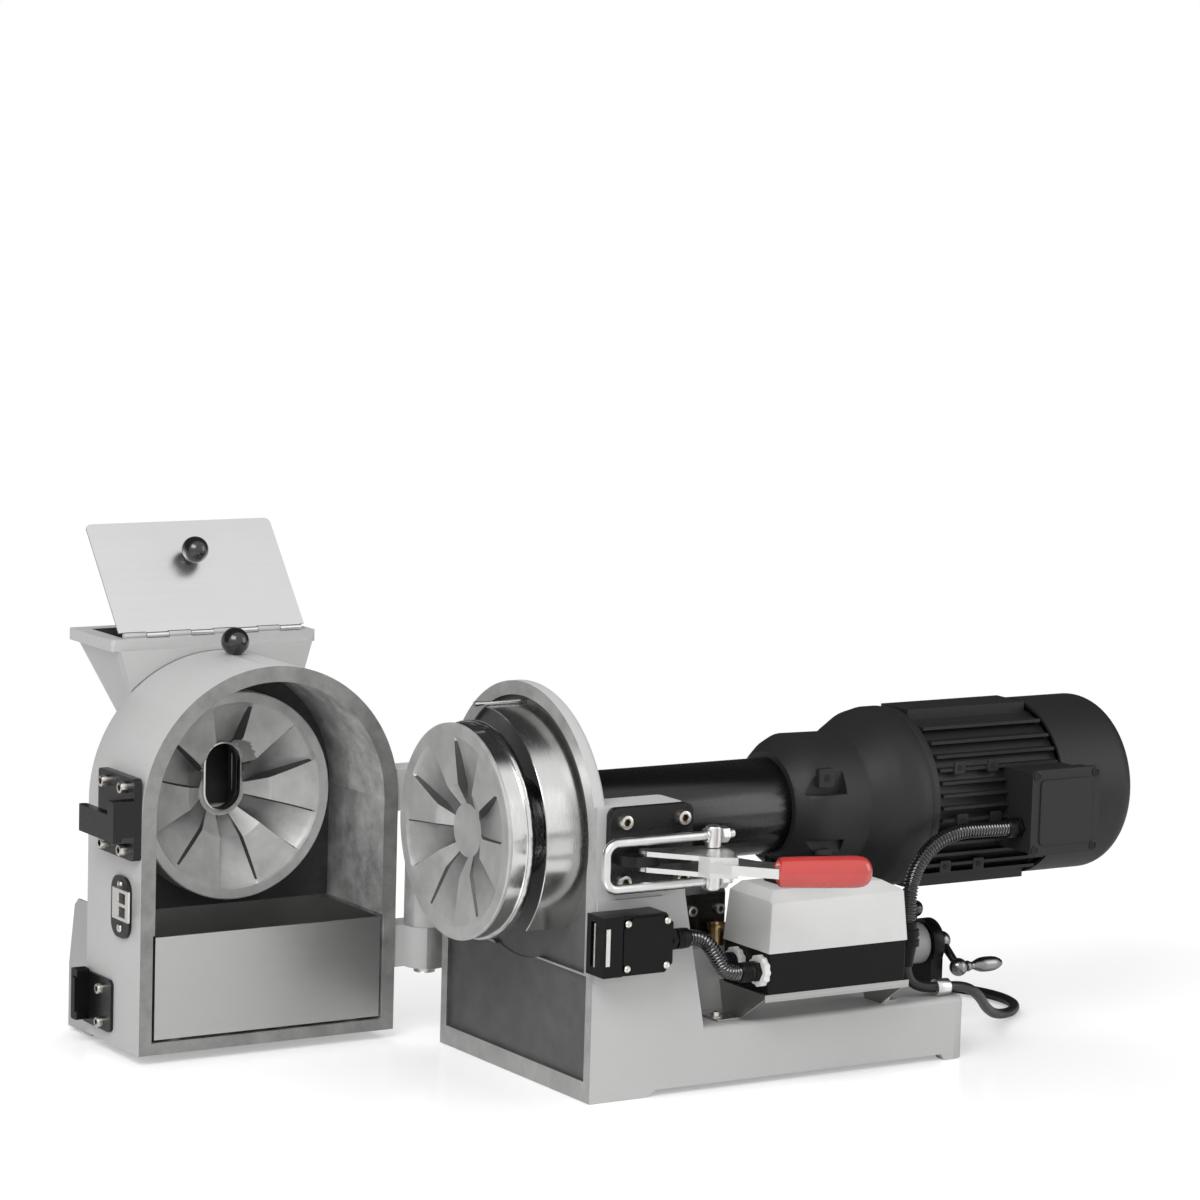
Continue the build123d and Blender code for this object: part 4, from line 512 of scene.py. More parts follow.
class Shape:
    """Points and faces of one piece, in millimetres; mark is the material of new faces."""

    def __init__(self):
        self.verts = []
        self.faces = []
        self.marks = []
        self.mark = 0

    def face(self, corners):
        self.faces.append(tuple(corners))
        self.marks.append(self.mark)

    def skin(self, rings, caps=True):
        """Faces between rings of as many points each, and one over each end."""
        rows = []
        for ring in rings:
            start = len(self.verts)
            self.verts += [tuple(p) for p in ring]
            rows.append(range(start, start + len(ring)))
        for a, b in zip(rows, rows[1:]):
            for i in range(len(a)):
                j = (i + 1) % len(a)
                self.face((a[i], a[j], b[j], b[i]))
        if caps:
            self.face(reversed(rows[0]))
            self.face(rows[-1])

    def turned(self, at, axis, profile, sides=ROUND_SIDES, caps=True, turn=0.0):
        """A profile of (along, radius) turned about an axis through a point."""
        u, v, w = AXES[axis]
        rings = [circle(Vector(at) + w * along, u, v, r, sides, turn) for along, r in profile]
        self.skin(rings, caps=caps)

    def prism(self, at, axis, outline, depth):
        """An outline of (u, v) points, as deep as depth along the axis."""
        u, v, w = AXES[axis]
        near = [Vector(at) + u * p[0] + v * p[1] for p in outline]
        self.skin([near, [p + w * depth for p in near]])

    def block(self, x0, x1, y0, y1, z0, z1):
        self.prism((0, 0, z0), "z", [(x0, y0), (x1, y0), (x1, y1), (x0, y1)], z1 - z0)

    def swept(self, path, radii):
        """A round bar along a path, with a radius at each of its points."""
        last = len(path) - 1
        side = None
        rings = []
        for i, p in enumerate(path):
            along = (path[min(i + 1, last)] - path[max(i - 1, 0)]).normalized()
            if side is None:
                side = along.orthogonal().normalized()
            side = (side - along * side.dot(along)).normalized()
            rings.append(circle(p, side, along.cross(side), radii[i], BAR_SIDES))
        self.skin(rings)

    def socket_screw(self, at, axis, r, length, hex_r):
        """Cap head with a rounded rim and a hexagon socket, standing on a face."""
        u, v, w = AXES[axis]
        flat = hex_r * math.cos(math.pi / 6)
        rim = CAP_RIM * r

        def ring(along, radius):
            return circle(Vector(at) + w * along, u, v, radius, ROUND_SIDES)

        def hexagon(a):
            return flat / math.cos((a % (math.pi / 3)) - math.pi / 6)

        rings = [ring(0, r), ring(length - rim, r), ring(length - 0.3 * rim, r - 0.3 * rim)]
        rings += [ring(length, r - rim), ring(length, lambda a: hexagon(a) + SOCKET_CHAMFER)]
        self.skin(rings, caps=False)
        # The socket's faces take the second material, a dark painted shade.
        self.mark = 1
        socket = [ring(length - SOCKET_CHAMFER, hexagon), ring(SOCKET_FLOOR * length, hexagon)]
        self.skin([rings[-1], *socket], caps=False)
        self.face(range(len(self.verts) - ROUND_SIDES, len(self.verts)))
        self.mark = 0


def rounded(x0, y0, x1, y1, reach, steps=5):
    """A rectangle whose corners are curves that start and end reach from each."""
    points = [Vector(p) for p in ((x0, y0), (x1, y0), (x1, y1), (x0, y1))]
    out = []
    for i, p in enumerate(points):
        a, b = points[i - 1], points[(i + 1) % len(points)]
        start = p + (a - p).normalized() * min(reach, (a - p).length / CORNER_ROOM)
        end = p + (b - p).normalized() * min(reach, (b - p).length / CORNER_ROOM)
        for k in range(steps + 1):
            t = k / steps
            out.append((1 - t) ** 2 * start + 2 * t * (1 - t) * p + t * t * end)
    return out


def mesh_object(name, shape, at):
    mesh = bpy.data.meshes.new(name)
    mesh.from_pydata([at @ Vector(v) for v in shape.verts], [], shape.faces)
    obj = bpy.data.objects.new(name, mesh)
    bpy.context.collection.objects.link(obj)
    return obj


def piece(name, shape, body, materials, at=BASE, replaces=(), bevel=0.0):
    """One scene piece that rides on a body, from a shape in millimetres."""
    obj = mesh_object(name, shape, at)
    mesh = obj.data
    for polygon, mark in zip(mesh.polygons, shape.marks):
        polygon.material_index = mark
    work = bmesh.new()
    work.from_mesh(mesh)
    bmesh.ops.remove_doubles(work, verts=work.verts, dist=WELD_DISTANCE)
    bmesh.ops.recalc_face_normals(work, faces=work.faces)
    work.to_mesh(mesh)
    work.free()
    for key in materials if isinstance(materials, tuple) else (materials,):
        mesh.materials.append(MATERIAL[key])
    mesh.shade_smooth()
    mesh.set_sharp_from_angle(angle=PIECE_SHARP)
    if bevel:
        round_edges(obj, bevel)
    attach(obj, body)
    if replaces:
        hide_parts(*replaces)
    return obj


def round_edges(obj, width, weld=False):
    """Rounded edges, as a casting or a deburred plate has, for the light to catch."""
    if weld:
        join = obj.modifiers.new("weld", "WELD")
        join.merge_threshold = WELD_DISTANCE
    edge = obj.modifiers.new("edges", "BEVEL")
    edge.width = width * MM
    edge.segments = EDGE_STEPS
    edge.limit_method = "ANGLE"
    edge.angle_limit = PIECE_SHARP
    edge.harden_normals = True
    edge.miter_outer = "MITER_ARC"


def cut_out(obj, shape, at=BASE):
    """Take a shape out of a piece."""
    cutter = mesh_object("cutter", shape, at)
    cut = obj.modifiers.new("cut", "BOOLEAN")
    cut.object = cutter
    cut.solver = "EXACT"
    graph = bpy.context.evaluated_depsgraph_get()
    made = bpy.data.meshes.new_from_object(obj.evaluated_get(graph))
    obj.modifiers.remove(cut)
    obj.data = made
    bpy.data.objects.remove(cutter)
    made.set_sharp_from_angle(angle=PIECE_SHARP)


# ---- cords and hoses
CURVE_STEPS = 6
LEAD_ROUNDNESS = 5


def route_line(route, name):
    """A smooth curve whose control points are the route's, in metres."""
    curve = bpy.data.curves.new(name, "CURVE")
    curve.dimensions = "3D"
    curve.resolution_u = CURVE_STEPS
    spline = curve.splines.new("NURBS")
    spline.points.add(len(route) - 1)
    for point, place in zip(spline.points, route):
        point.co = (place[0] - ORIGIN_X * MM, place[1], place[2], 1)
    spline.order_u = 3
    spline.use_endpoint_u = True
    obj = bpy.data.objects.new(name, curve)
    bpy.context.collection.objects.link(obj)
    return obj


def line_points(route):
    """Points along the route's smooth curve, in millimetres from the mating plane."""
    obj = route_line(route, "line")
    graph = bpy.context.evaluated_depsgraph_get()
    mesh = bpy.data.meshes.new_from_object(obj.evaluated_get(graph))
    back = BASE.inverted()
    points = [back @ v.co for v in mesh.vertices]
    bpy.data.objects.remove(obj)
    return points


def even_steps(points, step):
    """The same line, divided at even distances."""
    out = [points[0]]
    left = step
    for a, b in zip(points, points[1:]):
        run = (b - a).length
        at = left
        while at < run:
            out.append(a.lerp(b, at / run))
            at += step
        left = at - run
    out.append(points[-1])
    return out


LEAD_ROUTE = [
    (0.367, -0.112, 0.090), (0.368, -0.113, 0.080), (0.375, -0.117, 0.071),
    (0.391, -0.122, 0.0686), (0.412, -0.1227, 0.0684), (0.438, -0.116, 0.064),
    (0.468, -0.097, 0.048), (0.500, -0.066, 0.027), (0.536, -0.036, 0.010),
    (0.572, -0.016, 0.0052), (0.599, 0.012, 0.0052), (0.604, 0.055, 0.0052),
    (0.587, 0.099, 0.0052), (0.552, 0.133, 0.0052), (0.504, 0.151, 0.0052), (0.455, 0.157, 0.0052),
]
MOTOR_HOSE = [
    (0.486, -0.105, 0.213), (0.457, -0.105, 0.214), (0.425, -0.105, 0.214), (0.397, -0.105, 0.203),
    (0.377, -0.107, 0.182), (0.368, -0.111, 0.158), (0.367, -0.112, 0.133),
]
SWITCH_HOSE = [
    (0.089, -0.154, 0.150), (0.105, -0.154, 0.1495), (0.119, -0.1555, 0.132),
    (0.131, -0.155, 0.113), (0.146, -0.154, 0.112),
]
COIL_AT = (0.400, 0.212)
COIL_START_DEG = -90
COIL_POINTS = 16
# How far round the coil, with the line's radius and height there.
COIL_SHAPE = [
    (0.00, 55.0, 5.2), (0.10, 58.5, 5.2), (0.20, 60.5, 5.2), (0.75, 60.5, 5.2), (0.85, 57.5, 5.2),
    (0.92, 51.0, 5.2), (1.00, 44.6, 5.2), (1.10, 47.6, 5.2), (1.20, 50.0, 5.2), (1.70, 50.0, 5.2),
    (1.80, 49.0, 8.6), (1.88, 47.3, 13.0), (1.94, 48.6, 15.0), (2.00, 50.5, 14.6),
    (2.10, 53.0, 14.2), (2.20, 55.0, 14.0), (2.75, 55.0, 14.0), (2.85, 57.0, 16.0),
    (2.92, 58.0, 19.0), (3.00, 57.5, 21.0),
]
PLUG_LINE = [(0.386, 0.1550, 0.0208), (0.366, 0.1565, 0.0195), (0.345, 0.157, 0.019)]
LEAD_D = 0.010


def coil_points():
    """The coil's turns, from its given radii and heights."""
    points = []
    turns = COIL_SHAPE[-1][0]
    steps = int(turns * COIL_POINTS)
    for i in range(steps + 1):
        t = i * turns / steps
        a, b = next((a, b) for a, b in zip(COIL_SHAPE, COIL_SHAPE[1:]) if t <= b[0] + 1e-9)
        share = (t - a[0]) / (b[0] - a[0])
        r = (a[1] + (b[1] - a[1]) * share) * MM
        z = (a[2] + (b[2] - a[2]) * share) * MM
        angle = math.radians(COIL_START_DEG - 360 * t)
        points.append((COIL_AT[0] + r * math.cos(angle), COIL_AT[1] + r * math.sin(angle), z))
    return points


def make_lead():
    """Mains lead from the branch piece, over the bed's edge to its coil and its plug."""
    lead = route_line(LEAD_ROUTE + coil_points() + PLUG_LINE, "lead")
    lead.data.bevel_depth = LEAD_D / 2
    lead.data.bevel_resolution = LEAD_ROUNDNESS
    lead.data.use_fill_caps = True
    lead.data.materials.append(MATERIAL["rubber"])
    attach(lead, "base")
    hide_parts("mains_lead", "lead_coil")


HOSE_R = 7.5
HOSE_ROOT_R = 6.1
HOSE_PITCH = 3.3
HOSE_RIB = (HOSE_ROOT_R, HOSE_R - 0.5, HOSE_R, HOSE_R, HOSE_R - 0.5, HOSE_ROOT_R)


def corrugated(name, route):
    """Ribbed protective hose: round crests with narrow grooves between them."""
    shape = Shape()
    count = len(HOSE_RIB)
    path = even_steps(line_points(route), HOSE_PITCH / count)
    shape.swept(path, [HOSE_RIB[i % count] for i in range(len(path))])
    piece(name, shape, "base", "hose", replaces=(name.split(".")[0],))


# ---- grinding discs
PADS = 6
PAD_STEPS = (-1.0, -0.75, -0.5, -0.25, 0.0, 0.25, 0.5, 0.75, 1.0)
FLOOR_STEPS = (0.0, 0.08, 0.22, 0.36, 0.5, 0.64, 0.78, 0.92, 1.0)
# The sloping wall beside a pad, marked for a near-black painted shade: its width, its widest angle and
# how far out it is marked.
WALL_T = 1.6
WALL_LEAST_R = 4
WALL_MOST = 0.08
WALL_END = 0.97
WALL_MARK = 2
FLUTE_MARK = 3
FLOOR_CURVE = 0.7
FLOOR_TILT = 0.55
# The feed slot's half width and its ends, and the well round it.
SLOT_HALF = 18.0
SLOT_Z = (215.0, 279.0)
SLOT_CLEAR = 0.5
SLOT_STEPS = 14
WELL_FLAT = 4.0
WELL_SLOPE = 7.0
# Each disc's face: its x; the radii of hub, bend in the pads and outer ring, with the depths
# of hub and bend; the first pad's direction, with half a pad's angle at the middle and at
# the outer ring; and the (radius, x) of the rings round its side.
MOVING_X = -70.0
MOVING_SIZES = (25.0, 43.0, 88.0, 15.0, 5.5)
MOVING_PADS = (-17.0, (11.0, 15.0))
MOVING_LIP = ((DISC_R, -69.0), (DISC_R, -66.6), (DISC_R - 1, -66.0))
MOVING_SIDE = ((DISC_R - 1, -51.0), (DISC_R - 0.4, -50.4), (DISC_R - 0.4, -50.0), (20.0, -50.0))
FIXED_X = -74.0
FIXED_SIZES = (24.0, 44.0, 90.0, 31.5, 13.0)
FIXED_PADS = (-27.0, (12.0, 16.5))
FIXED_SIDE = ((DISC_R, -75.0), (DISC_R, -109.8), (20.0, -109.8))


def disc_depth(r, sizes, where, share):
    """How far a point of the disc's face lies behind its outer ring."""
    hub_r, pad_r, ring_r, hub, pad_end = sizes
    if r >= ring_r:
        return 0.0
    if r <= hub_r:
        return hub
    if where == "pad":
        if r >= pad_r:
            return pad_end * (ring_r - r) / (ring_r - pad_r)
        return pad_end + (hub - pad_end) * (pad_r - r) / (pad_r - hub_r)
    floor = hub * ((ring_r - r) / (ring_r - hub_r)) ** FLOOR_CURVE
    inner = min((r - hub_r) / (pad_r - hub_r), 1)
    return floor * (1 + FLOOR_TILT * inner * (0.5 - share))


def slot_well(y, z, hub):
    """Depth of the well round the feed slot: full beside it, rising to nothing."""
    low, high = SLOT_Z[0] + SLOT_HALF, SLOT_Z[1] - SLOT_HALF
    away = math.hypot(y, z - min(max(z, low), high)) - SLOT_HALF
    share = min(max(1 - (away - WELL_FLAT) / WELL_SLOPE, 0), 1)
    return hub * share * share * (3 - 2 * share)


def disc_face(shape, face_x, sizes, radii, inward, first_deg, half_deg, well=False):
    """Raised pads and sunken flutes between a flat hub and a smooth outer ring."""
    hub_r, _, ring_r, hub, _ = sizes
    rings = []
    for r in radii:
        ring = []
        for n in range(PADS):
            middle = math.radians(first_deg + n * 360 / PADS)
            half = math.radians(half_deg[0] + (half_deg[1] - half_deg[0]) * r / ring_r)
            wall = min(WALL_T / max(r, WALL_LEAST_R), WALL_MOST)
            gap = 2 * math.pi / PADS - 2 * half - 2 * wall
            spots = [(middle + s * half, "pad", 0) for s in PAD_STEPS]
            spots += [(middle + half + wall + s * gap, "floor", s) for s in FLOOR_STEPS]
            for angle, where, share in spots:
                y, z = -r * math.sin(angle), SHAFT_Z + r * math.cos(angle)
                depth = disc_depth(r, sizes, where, share)
                if well:
                    depth = max(depth, slot_well(y, z, hub))
                ring.append((face_x + inward * depth, y, z))
        rings.append(ring)
    start = len(shape.faces)
    shape.skin(rings, caps=False)
    columns = len(PAD_STEPS) + len(FLOOR_STEPS)
    for i in range(start, len(shape.faces)):
        row, column = divmod(i - start, columns * PADS)
        walled = hub_r < radii[row + 1] < WALL_END * ring_r
        if walled and column % columns in (len(PAD_STEPS) - 1, columns - 1):
            shape.marks[i] = WALL_MARK
        elif walled and column % columns >= len(PAD_STEPS):
            shape.marks[i] = FLUTE_MARK
    shape.face(reversed(range(len(rings[0]))))
    return rings[-1]


def rings_like(ring, places):
    """The ring's points moved to other radii and places along the shaft."""
    angles = [math.atan2(p[2] - SHAFT_Z, p[1]) for p in ring]
    return [[(x, r * math.cos(a), SHAFT_Z + r * math.sin(a)) for a in angles] for r, x in places]


def close_back(shape, count):
    """A face over the last ring, which has that many points."""
    shape.face(range(len(shape.verts) - count, len(shape.verts)))


def make_moving_disc():
    """Cast disc with six raised pads, a thin front lip and a polished side."""
    shape = Shape()
    radii = [6, 15, 24.9, 26, 30, 35, 40, 43, 44, 50, 58, 66, 74, 80, 84, 86.5, 88, 90, 94, 98.6]
    last = disc_face(shape, MOVING_X, MOVING_SIZES, radii, 1, *MOVING_PADS)
    lip = [last, *rings_like(last, MOVING_LIP)]
    shape.skin(lip, caps=False)
    shape.mark = 1
    shape.skin([lip[-1], *rings_like(last, MOVING_SIDE)], caps=False)
    close_back(shape, len(last))
    looks = ("disc", "carrier", "wall", "flute")
    piece("moving_disc.cast", shape, "shaft", looks, replaces=("moving_disc",), bevel=0.35)


def slot_outline(wider, longer):
    """The feed slot as (y, z) points, with its sides and its ends moved outwards."""
    half = SLOT_HALF + wider
    out = []
    for middle, start in ((SLOT_Z[1] + longer - half, 0), (SLOT_Z[0] - longer + half, 180)):
        for i in range(SLOT_STEPS + 1):
            a = math.radians(start + 180 * i / SLOT_STEPS)
            out.append((half * math.cos(a), middle + half * math.sin(a)))
    return out


def make_fixed_disc():
    """Deep cast disc in the door, round the feed slot."""
    shape = Shape()
    radii = [6, 14, 19, 23.9, 25, 28, 31, 34, 37, 40, 42.5, 44, 45, 47.5, 50, 52.5, 55, 57.5, 60]
    radii += [64, 68, 72, 76, 80, 83, 86, 88.5, 90, 92, 95, 99]
    last = disc_face(shape, FIXED_X, FIXED_SIZES, radii, -1, *FIXED_PADS, well=True)
    shape.skin([last, *rings_like(last, FIXED_SIDE)], caps=False)
    close_back(shape, len(last))
    looks = ("door_disc", "door_disc", "wall", "door_flute")
    disc = piece("fixed_disc.cast", shape, "door", looks, at=DOOR, replaces=("fixed_disc",))
    slot = Shape()
    slot.prism((-125, 0, 0), "x", slot_outline(SLOT_CLEAR, SLOT_CLEAR), 80)
    cut_out(disc, slot, DOOR)
    round_edges(disc, 0.4)


def make_feed_rim():
    """The feed slot's thin raised rim."""
    outer, inner = slot_outline(2.4, 2.0), slot_outline(SLOT_CLEAR, 0.2)
    rings = []
    for x, outline in ((-109.6, outer), (-102.6, outer), (-102.0, inner), (-109.6, inner)):
        rings.append([(x, y, z) for y, z in outline])
    rim = Shape()
    rim.skin(rings + [rings[0]], caps=False)
    piece("feed_rim", rim, "door", "rim", at=DOOR, bevel=0.3)


# ---- clamp
LEVER_Z = 226.0
BOW_BAR_X = -12.5
BOW_Y = -172.0
BOW_X = 101.0
BOW_HALF = 21.0
BOW_R = 4.25
BOW_BEND = 12.0
BEND_STEPS = 12
BOW_END = 123.0
BOW_STRAIGHT = (92, 60, 30, BOW_BAR_X + BOW_BEND)
BOW_CHAMFER = 1.2
THREAD_X = 111.0
THREAD_PITCH = 1.4
THREAD_STEPS = 4
THREAD_POINTS = 34
# How far the thread's crests and its grooves lie in from the bar's surface.
THREAD_CREST = 0.25
THREAD_DEPTH = 0.45
TRUNNION_SEAT = 9.8
TRUNNION_END = 9.0


def bow_path():
    """The bent bar's middle line, from one threaded end to the other."""
    half, bend = BOW_HALF, BOW_BEND
    ends = [BOW_END - i * THREAD_PITCH / THREAD_STEPS for i in range(THREAD_POINTS)]
    top = [Vector((x, BOW_Y, half)) for x in (*ends, *BOW_STRAIGHT)]
    for i in range(1, BEND_STEPS):
        a = math.pi / 2 * i / BEND_STEPS
        x = BOW_BAR_X + bend - bend * math.sin(a)
        top.append(Vector((x, BOW_Y, half - bend + bend * math.cos(a))))
    low = [Vector((p.x, p.y, -p.z)) for p in reversed(top)]
    return [p + Vector((0, 0, LEVER_Z)) for p in top + low]


def bow_radius(p, i):
    if p.x < THREAD_X:
        return BOW_R
    return BOW_R - THREAD_CREST - THREAD_DEPTH * (i % THREAD_STEPS in (1, 2))


def make_bow():
    """Plated bow with threaded ends."""
    shape = Shape()
    path = bow_path()
    count = len(path)
    radii = [bow_radius(p, min(i, count - 1 - i)) for i, p in enumerate(path)]
    radii[0] = radii[-1] = BOW_R - BOW_CHAMFER
    shape.swept(path, radii)
    piece("u_bolt.bar", shape, "bow", "zinc", replaces=("u_bolt",))


def make_trunnions():
    """Swivel blocks with rounded ends, and the hexagon nuts behind them."""
    for name, side, axis in (("upper", 1, "z"), ("lower", -1, "down")):
        z = LEVER_Z + side * BOW_HALF
        seat = LEVER_Z + side * TRUNNION_SEAT
        end = side * (z - seat) + TRUNNION_END
        shape = Shape()
        profile = [(0, 6.6), (0.6, 7.4), (3, 7.5), (end - 2.2, 7.5), (end - 0.8, 6.6), (end, 4.8)]
        shape.turned((BOW_X, BOW_Y, seat), axis, profile)
        shape.turned((BOW_X, BOW_Y, z), "x", [(-9.6, 5.6), (-9.0, 6.6), (-7.0, 6.6)])
        blocks = ("trunnion_blocks",) if name == "upper" else ()
        piece(f"trunnion.{name}", shape, "bow", "zinc", replaces=blocks, bevel=0.3)
        nut = Shape()
        profile = [(7.0, 6.4), (7.4, 7.9), (14.6, 7.9), (15.2, 6.6), (15.2, 4.0)]
        nut.turned((BOW_X, BOW_Y, z), "x", profile, sides=6, turn=math.radians(12))
        piece(f"trunnion.{name}_nut", nut, "bow", "zinc", bevel=0.35)


GRIP_AT = (118.0, -255.0, LEVER_Z)
GRIP_AXIS = (0.93, -0.36, 0)
GRIP_H = 29.0
GRIP_W = 24.0
GRIP_SIDES = 40
# Under one, it makes the grip's round section squarer.
GRIP_SQUARE = 0.85
# The mouth's slant, the length over which it goes away, and how far back it may reach.
GRIP_SLANT = 0.3025
GRIP_SLANT_END = 40
GRIP_START = -3
# Places along the grip, with its size there as a share of the full height and width.
GRIP_PROFILE = [
    (6.0, 0.60), (3.0, 0.72), (0.6, 0.80), (0.0, 0.86), (1.0, 0.93), (5.0, 0.955), (20.0, 0.97),
    (40.0, 0.985), (60.0, 1.0), (70.0, 0.99), (75.5, 0.94), (79.5, 0.82), (82.4, 0.60),
    (83.7, 0.34), (84.0, 0.08),
]


def make_grip():
    """Dipped red grip, full and round at its end, with a slanted mouth."""
    along = Vector(GRIP_AXIS).normalized()
    across = Vector((0, 0, 1)).cross(along)
    rings = []
    for s, size in GRIP_PROFILE:
        ring = []
        lean = GRIP_SLANT * max(0, 1 - s / GRIP_SLANT_END)
        for i in range(GRIP_SIDES):
            a = 2 * math.pi * i / GRIP_SIDES
            up = GRIP_H / 2 * size * math.sin(a)
            wide = math.copysign(abs(math.cos(a)) ** GRIP_SQUARE, math.cos(a))
            side = GRIP_W / 2 * size * wide
            ahead = max(s + lean * (abs(up) - GRIP_H / 2), GRIP_START)
            ring.append(Vector(GRIP_AT) + along * ahead + Vector((0, 0, up)) + across * side)
        rings.append(ring)
    shape = Shape()
    shape.skin(rings)
    piece("lever_grip.dipped", shape, "lever", "red", replaces=("lever_grip",))


# ---- screws
# Screw heads, as radius, height and radius of the socket.
CLAMP_HEAD = (6.5, 8.0, 3.4)
LATCH_HEAD = (5.5, 6.6, 2.9)
KEY_HEAD = (5.0, 5.0, 2.6)
BRACKET_HEAD = (4.5, 5.0, 2.3)
SWITCH_HEAD = (5.0, 5.0, 2.5)
LID_HEAD = (4.8, 0.9, 3.3)
# Thickness of the plates that the screws hold on the machine's near side.
PLATE_T = 8
THIN_PLATE_T = 3
BRIGHT_SCREW = ("screw", "socket")


def make_clamp_screws():
    shape = Shape()
    for x, z in product((22.5, 84.5), (205.0, 260.0)):
        shape.socket_screw((x, NEAR_Y - PLATE_T, z), "front", *CLAMP_HEAD)
    piece("clamp_plate_screws.caps", shape, "base", BRIGHT_SCREW, replaces=("clamp_plate_screws",))


def make_door_screws():
    """Screws of the latch hook, the drawer switch's bracket and the switch's key."""
    shape = Shape()
    for x, z in product((-60.0, -20.0), (201.5, 260.0)):
        shape.socket_screw((x, NEAR_Y - PLATE_T, z), "front", *LATCH_HEAD)
    for z in (124.0, 165.0):
        profile = [(0, 4.4), (0.5, 4.4), (1.5, 3.6), (1.8, 2.2), (1.8, 1.0), (1.2, 0.9)]
        shape.turned((-38, NEAR_Y - THIN_PLATE_T, z), "front", profile, sides=28)
    for z in (27.0, 59.0):
        shape.socket_screw((-76, NEAR_Y - THIN_PLATE_T, z), "front", *KEY_HEAD)
    piece("door_screws.caps", shape, "door", BRIGHT_SCREW, at=DOOR, replaces=("door_screws",))


def ring_washer(shape, at, axis, r, hole, t):
    profile = [(0, hole), (0, r), (t - 0.2, r), (t, r - 0.3), (t, hole)]
    shape.turned(at, axis, profile, sides=32, caps=False)


def make_small_screws():
    """Screws of the connection box, the safety switch, the motor's mounting and the bracket."""
    shape = Shape()
    for x, z in product((507.0, 578.0), (193.0, 265.0)):
        shape.socket_screw((x, -124, z), "front", *LID_HEAD)
    # Their sockets are near-black painted shade.
    piece("terminal_screws", shape, "base", ("black", "hole"))
    caps = Shape()
    for x, z in product((16.0, 58.0), (130.0, 171.0)):
        profile = [(0, 3.4), (1.0, 3.3), (1.9, 2.4), (2.1, 1.2), (1.6, 0.6)]
        caps.turned((x, -167, z), "front", profile, sides=24)
    for x in (155, 186):
        caps.socket_screw((x, -58, 151), "front", *SWITCH_HEAD)
    for x in (150, 342):
        caps.socket_screw((x, -112, 62), "z", *BRACKET_HEAD)
        ring_washer(caps, (x, -112, 62), "z", 7.0, 4.0, 1.2)
    old = ("small_screws",)
    piece("small_screws.caps", caps, "base", BRIGHT_SCREW, replaces=old)


# ---- glands and wiring
BOX_FACE = 172.0
NUT_T = 6.0
NUT_R = 15.0
LOBE_DEPTH = 1.4
LOBES = 12
LOBE_STEPS = 6
GLAND_SPOTS = ((-154.0, 112.0), (-114.0, 112.0))
# A hose fitting's hexagon and its dome, as shares of its length and of its radius.
GLAND_R = 10.0
GLAND_BORE = 4
GLAND_MOUTH = 7.2
GLAND_NECK = 0.32
GLAND_HEX = ((0, 1), (0.25, 1), (0.25, 0.88), (GLAND_NECK, 0.88))
GLAND_DOME = ((GLAND_NECK, 0.93), (0.5, 0.97), (0.52, 0.9), (0.58, 0.9), (0.6, 0.97))
GLAND_DOME += ((0.93, 0.93), (1, 0.80))
CORD_NUT = [(0, 10), (5, 10), (5, 8.8), (11, 8.4), (12, 7.4), (12, 4), (9, 3)]
ELBOW = [(0, 11), (4, 11), (4, 9), (34, 8.4)]
BRANCH = [
    (90, 5.1), (90, 6.4), (94, 6.9), (98, 7.5), (102, 8.2), (106, 8.9), (110, 9.5), (110, 12),
    (116, 12), (116, 10.8), (120, 10.8), (120, 12), (126, 11.2), (126, 9.4), (133, 9.2), (133, 7),
]


def scalloped(r, depth):
    """Outline of a nut with rounded lobes for the fingers."""
    out = []
    count = LOBES * LOBE_STEPS
    for i in range(count):
        a = 2 * math.pi * i / count
        reach = r - depth * (0.5 - 0.5 * math.cos(LOBES * a))
        out.append((reach * math.cos(a), reach * math.sin(a)))
    return out


def make_gland_nuts():
    shape = Shape()
    for y, z in GLAND_SPOTS:
        shape.prism((BOX_FACE - NUT_T, y, z), "x", scalloped(NUT_R, LOBE_DEPTH), NUT_T)
    piece("gland_nuts.lobed", shape, "base", "white", replaces=("gland_nuts",), bevel=0.8)


def gland(shape, at, axis, length):
    """Hose fitting: a hexagon next to the wall and a ribbed dome over the hose."""
    neck = [(GLAND_NECK * length, GLAND_BORE)]
    hexagon = [(share * length, GLAND_R * size) for share, size in GLAND_HEX]
    dome = [(share * length, GLAND_R * size) for share, size in GLAND_DOME]
    shape.turned(at, axis, hexagon + neck, sides=6)
    shape.turned(at, axis, neck + dome + [(length, GLAND_MOUTH)])


def make_fittings():
    """Hose fittings on the switch, the box and the motor, and the branch piece."""
    shape = Shape()
    hose_spot, cord_spot = GLAND_SPOTS
    gland(shape, (68, -154, 150), "x", 21)
    gland(shape, (BOX_FACE - NUT_T, *hose_spot), "back", 20)
    shape.turned((BOX_FACE - NUT_T, *cord_spot), "back", CORD_NUT)
    gland(shape, (502, -105, 213), "back", 17)
    shape.turned((367, -112, 0), "z", BRANCH)
    shape.turned((327, -112, 112), "x", ELBOW, sides=32)
    name, old = "conduit_fittings.ribbed", ("conduit_fittings",)
    piece(name, shape, "base", "plastic", replaces=old, bevel=0.3)


# ---- motor
FRAME_R = 87.0
BOSS_X = (446, 486)
BOSS_UP = (-62, -12, 38)
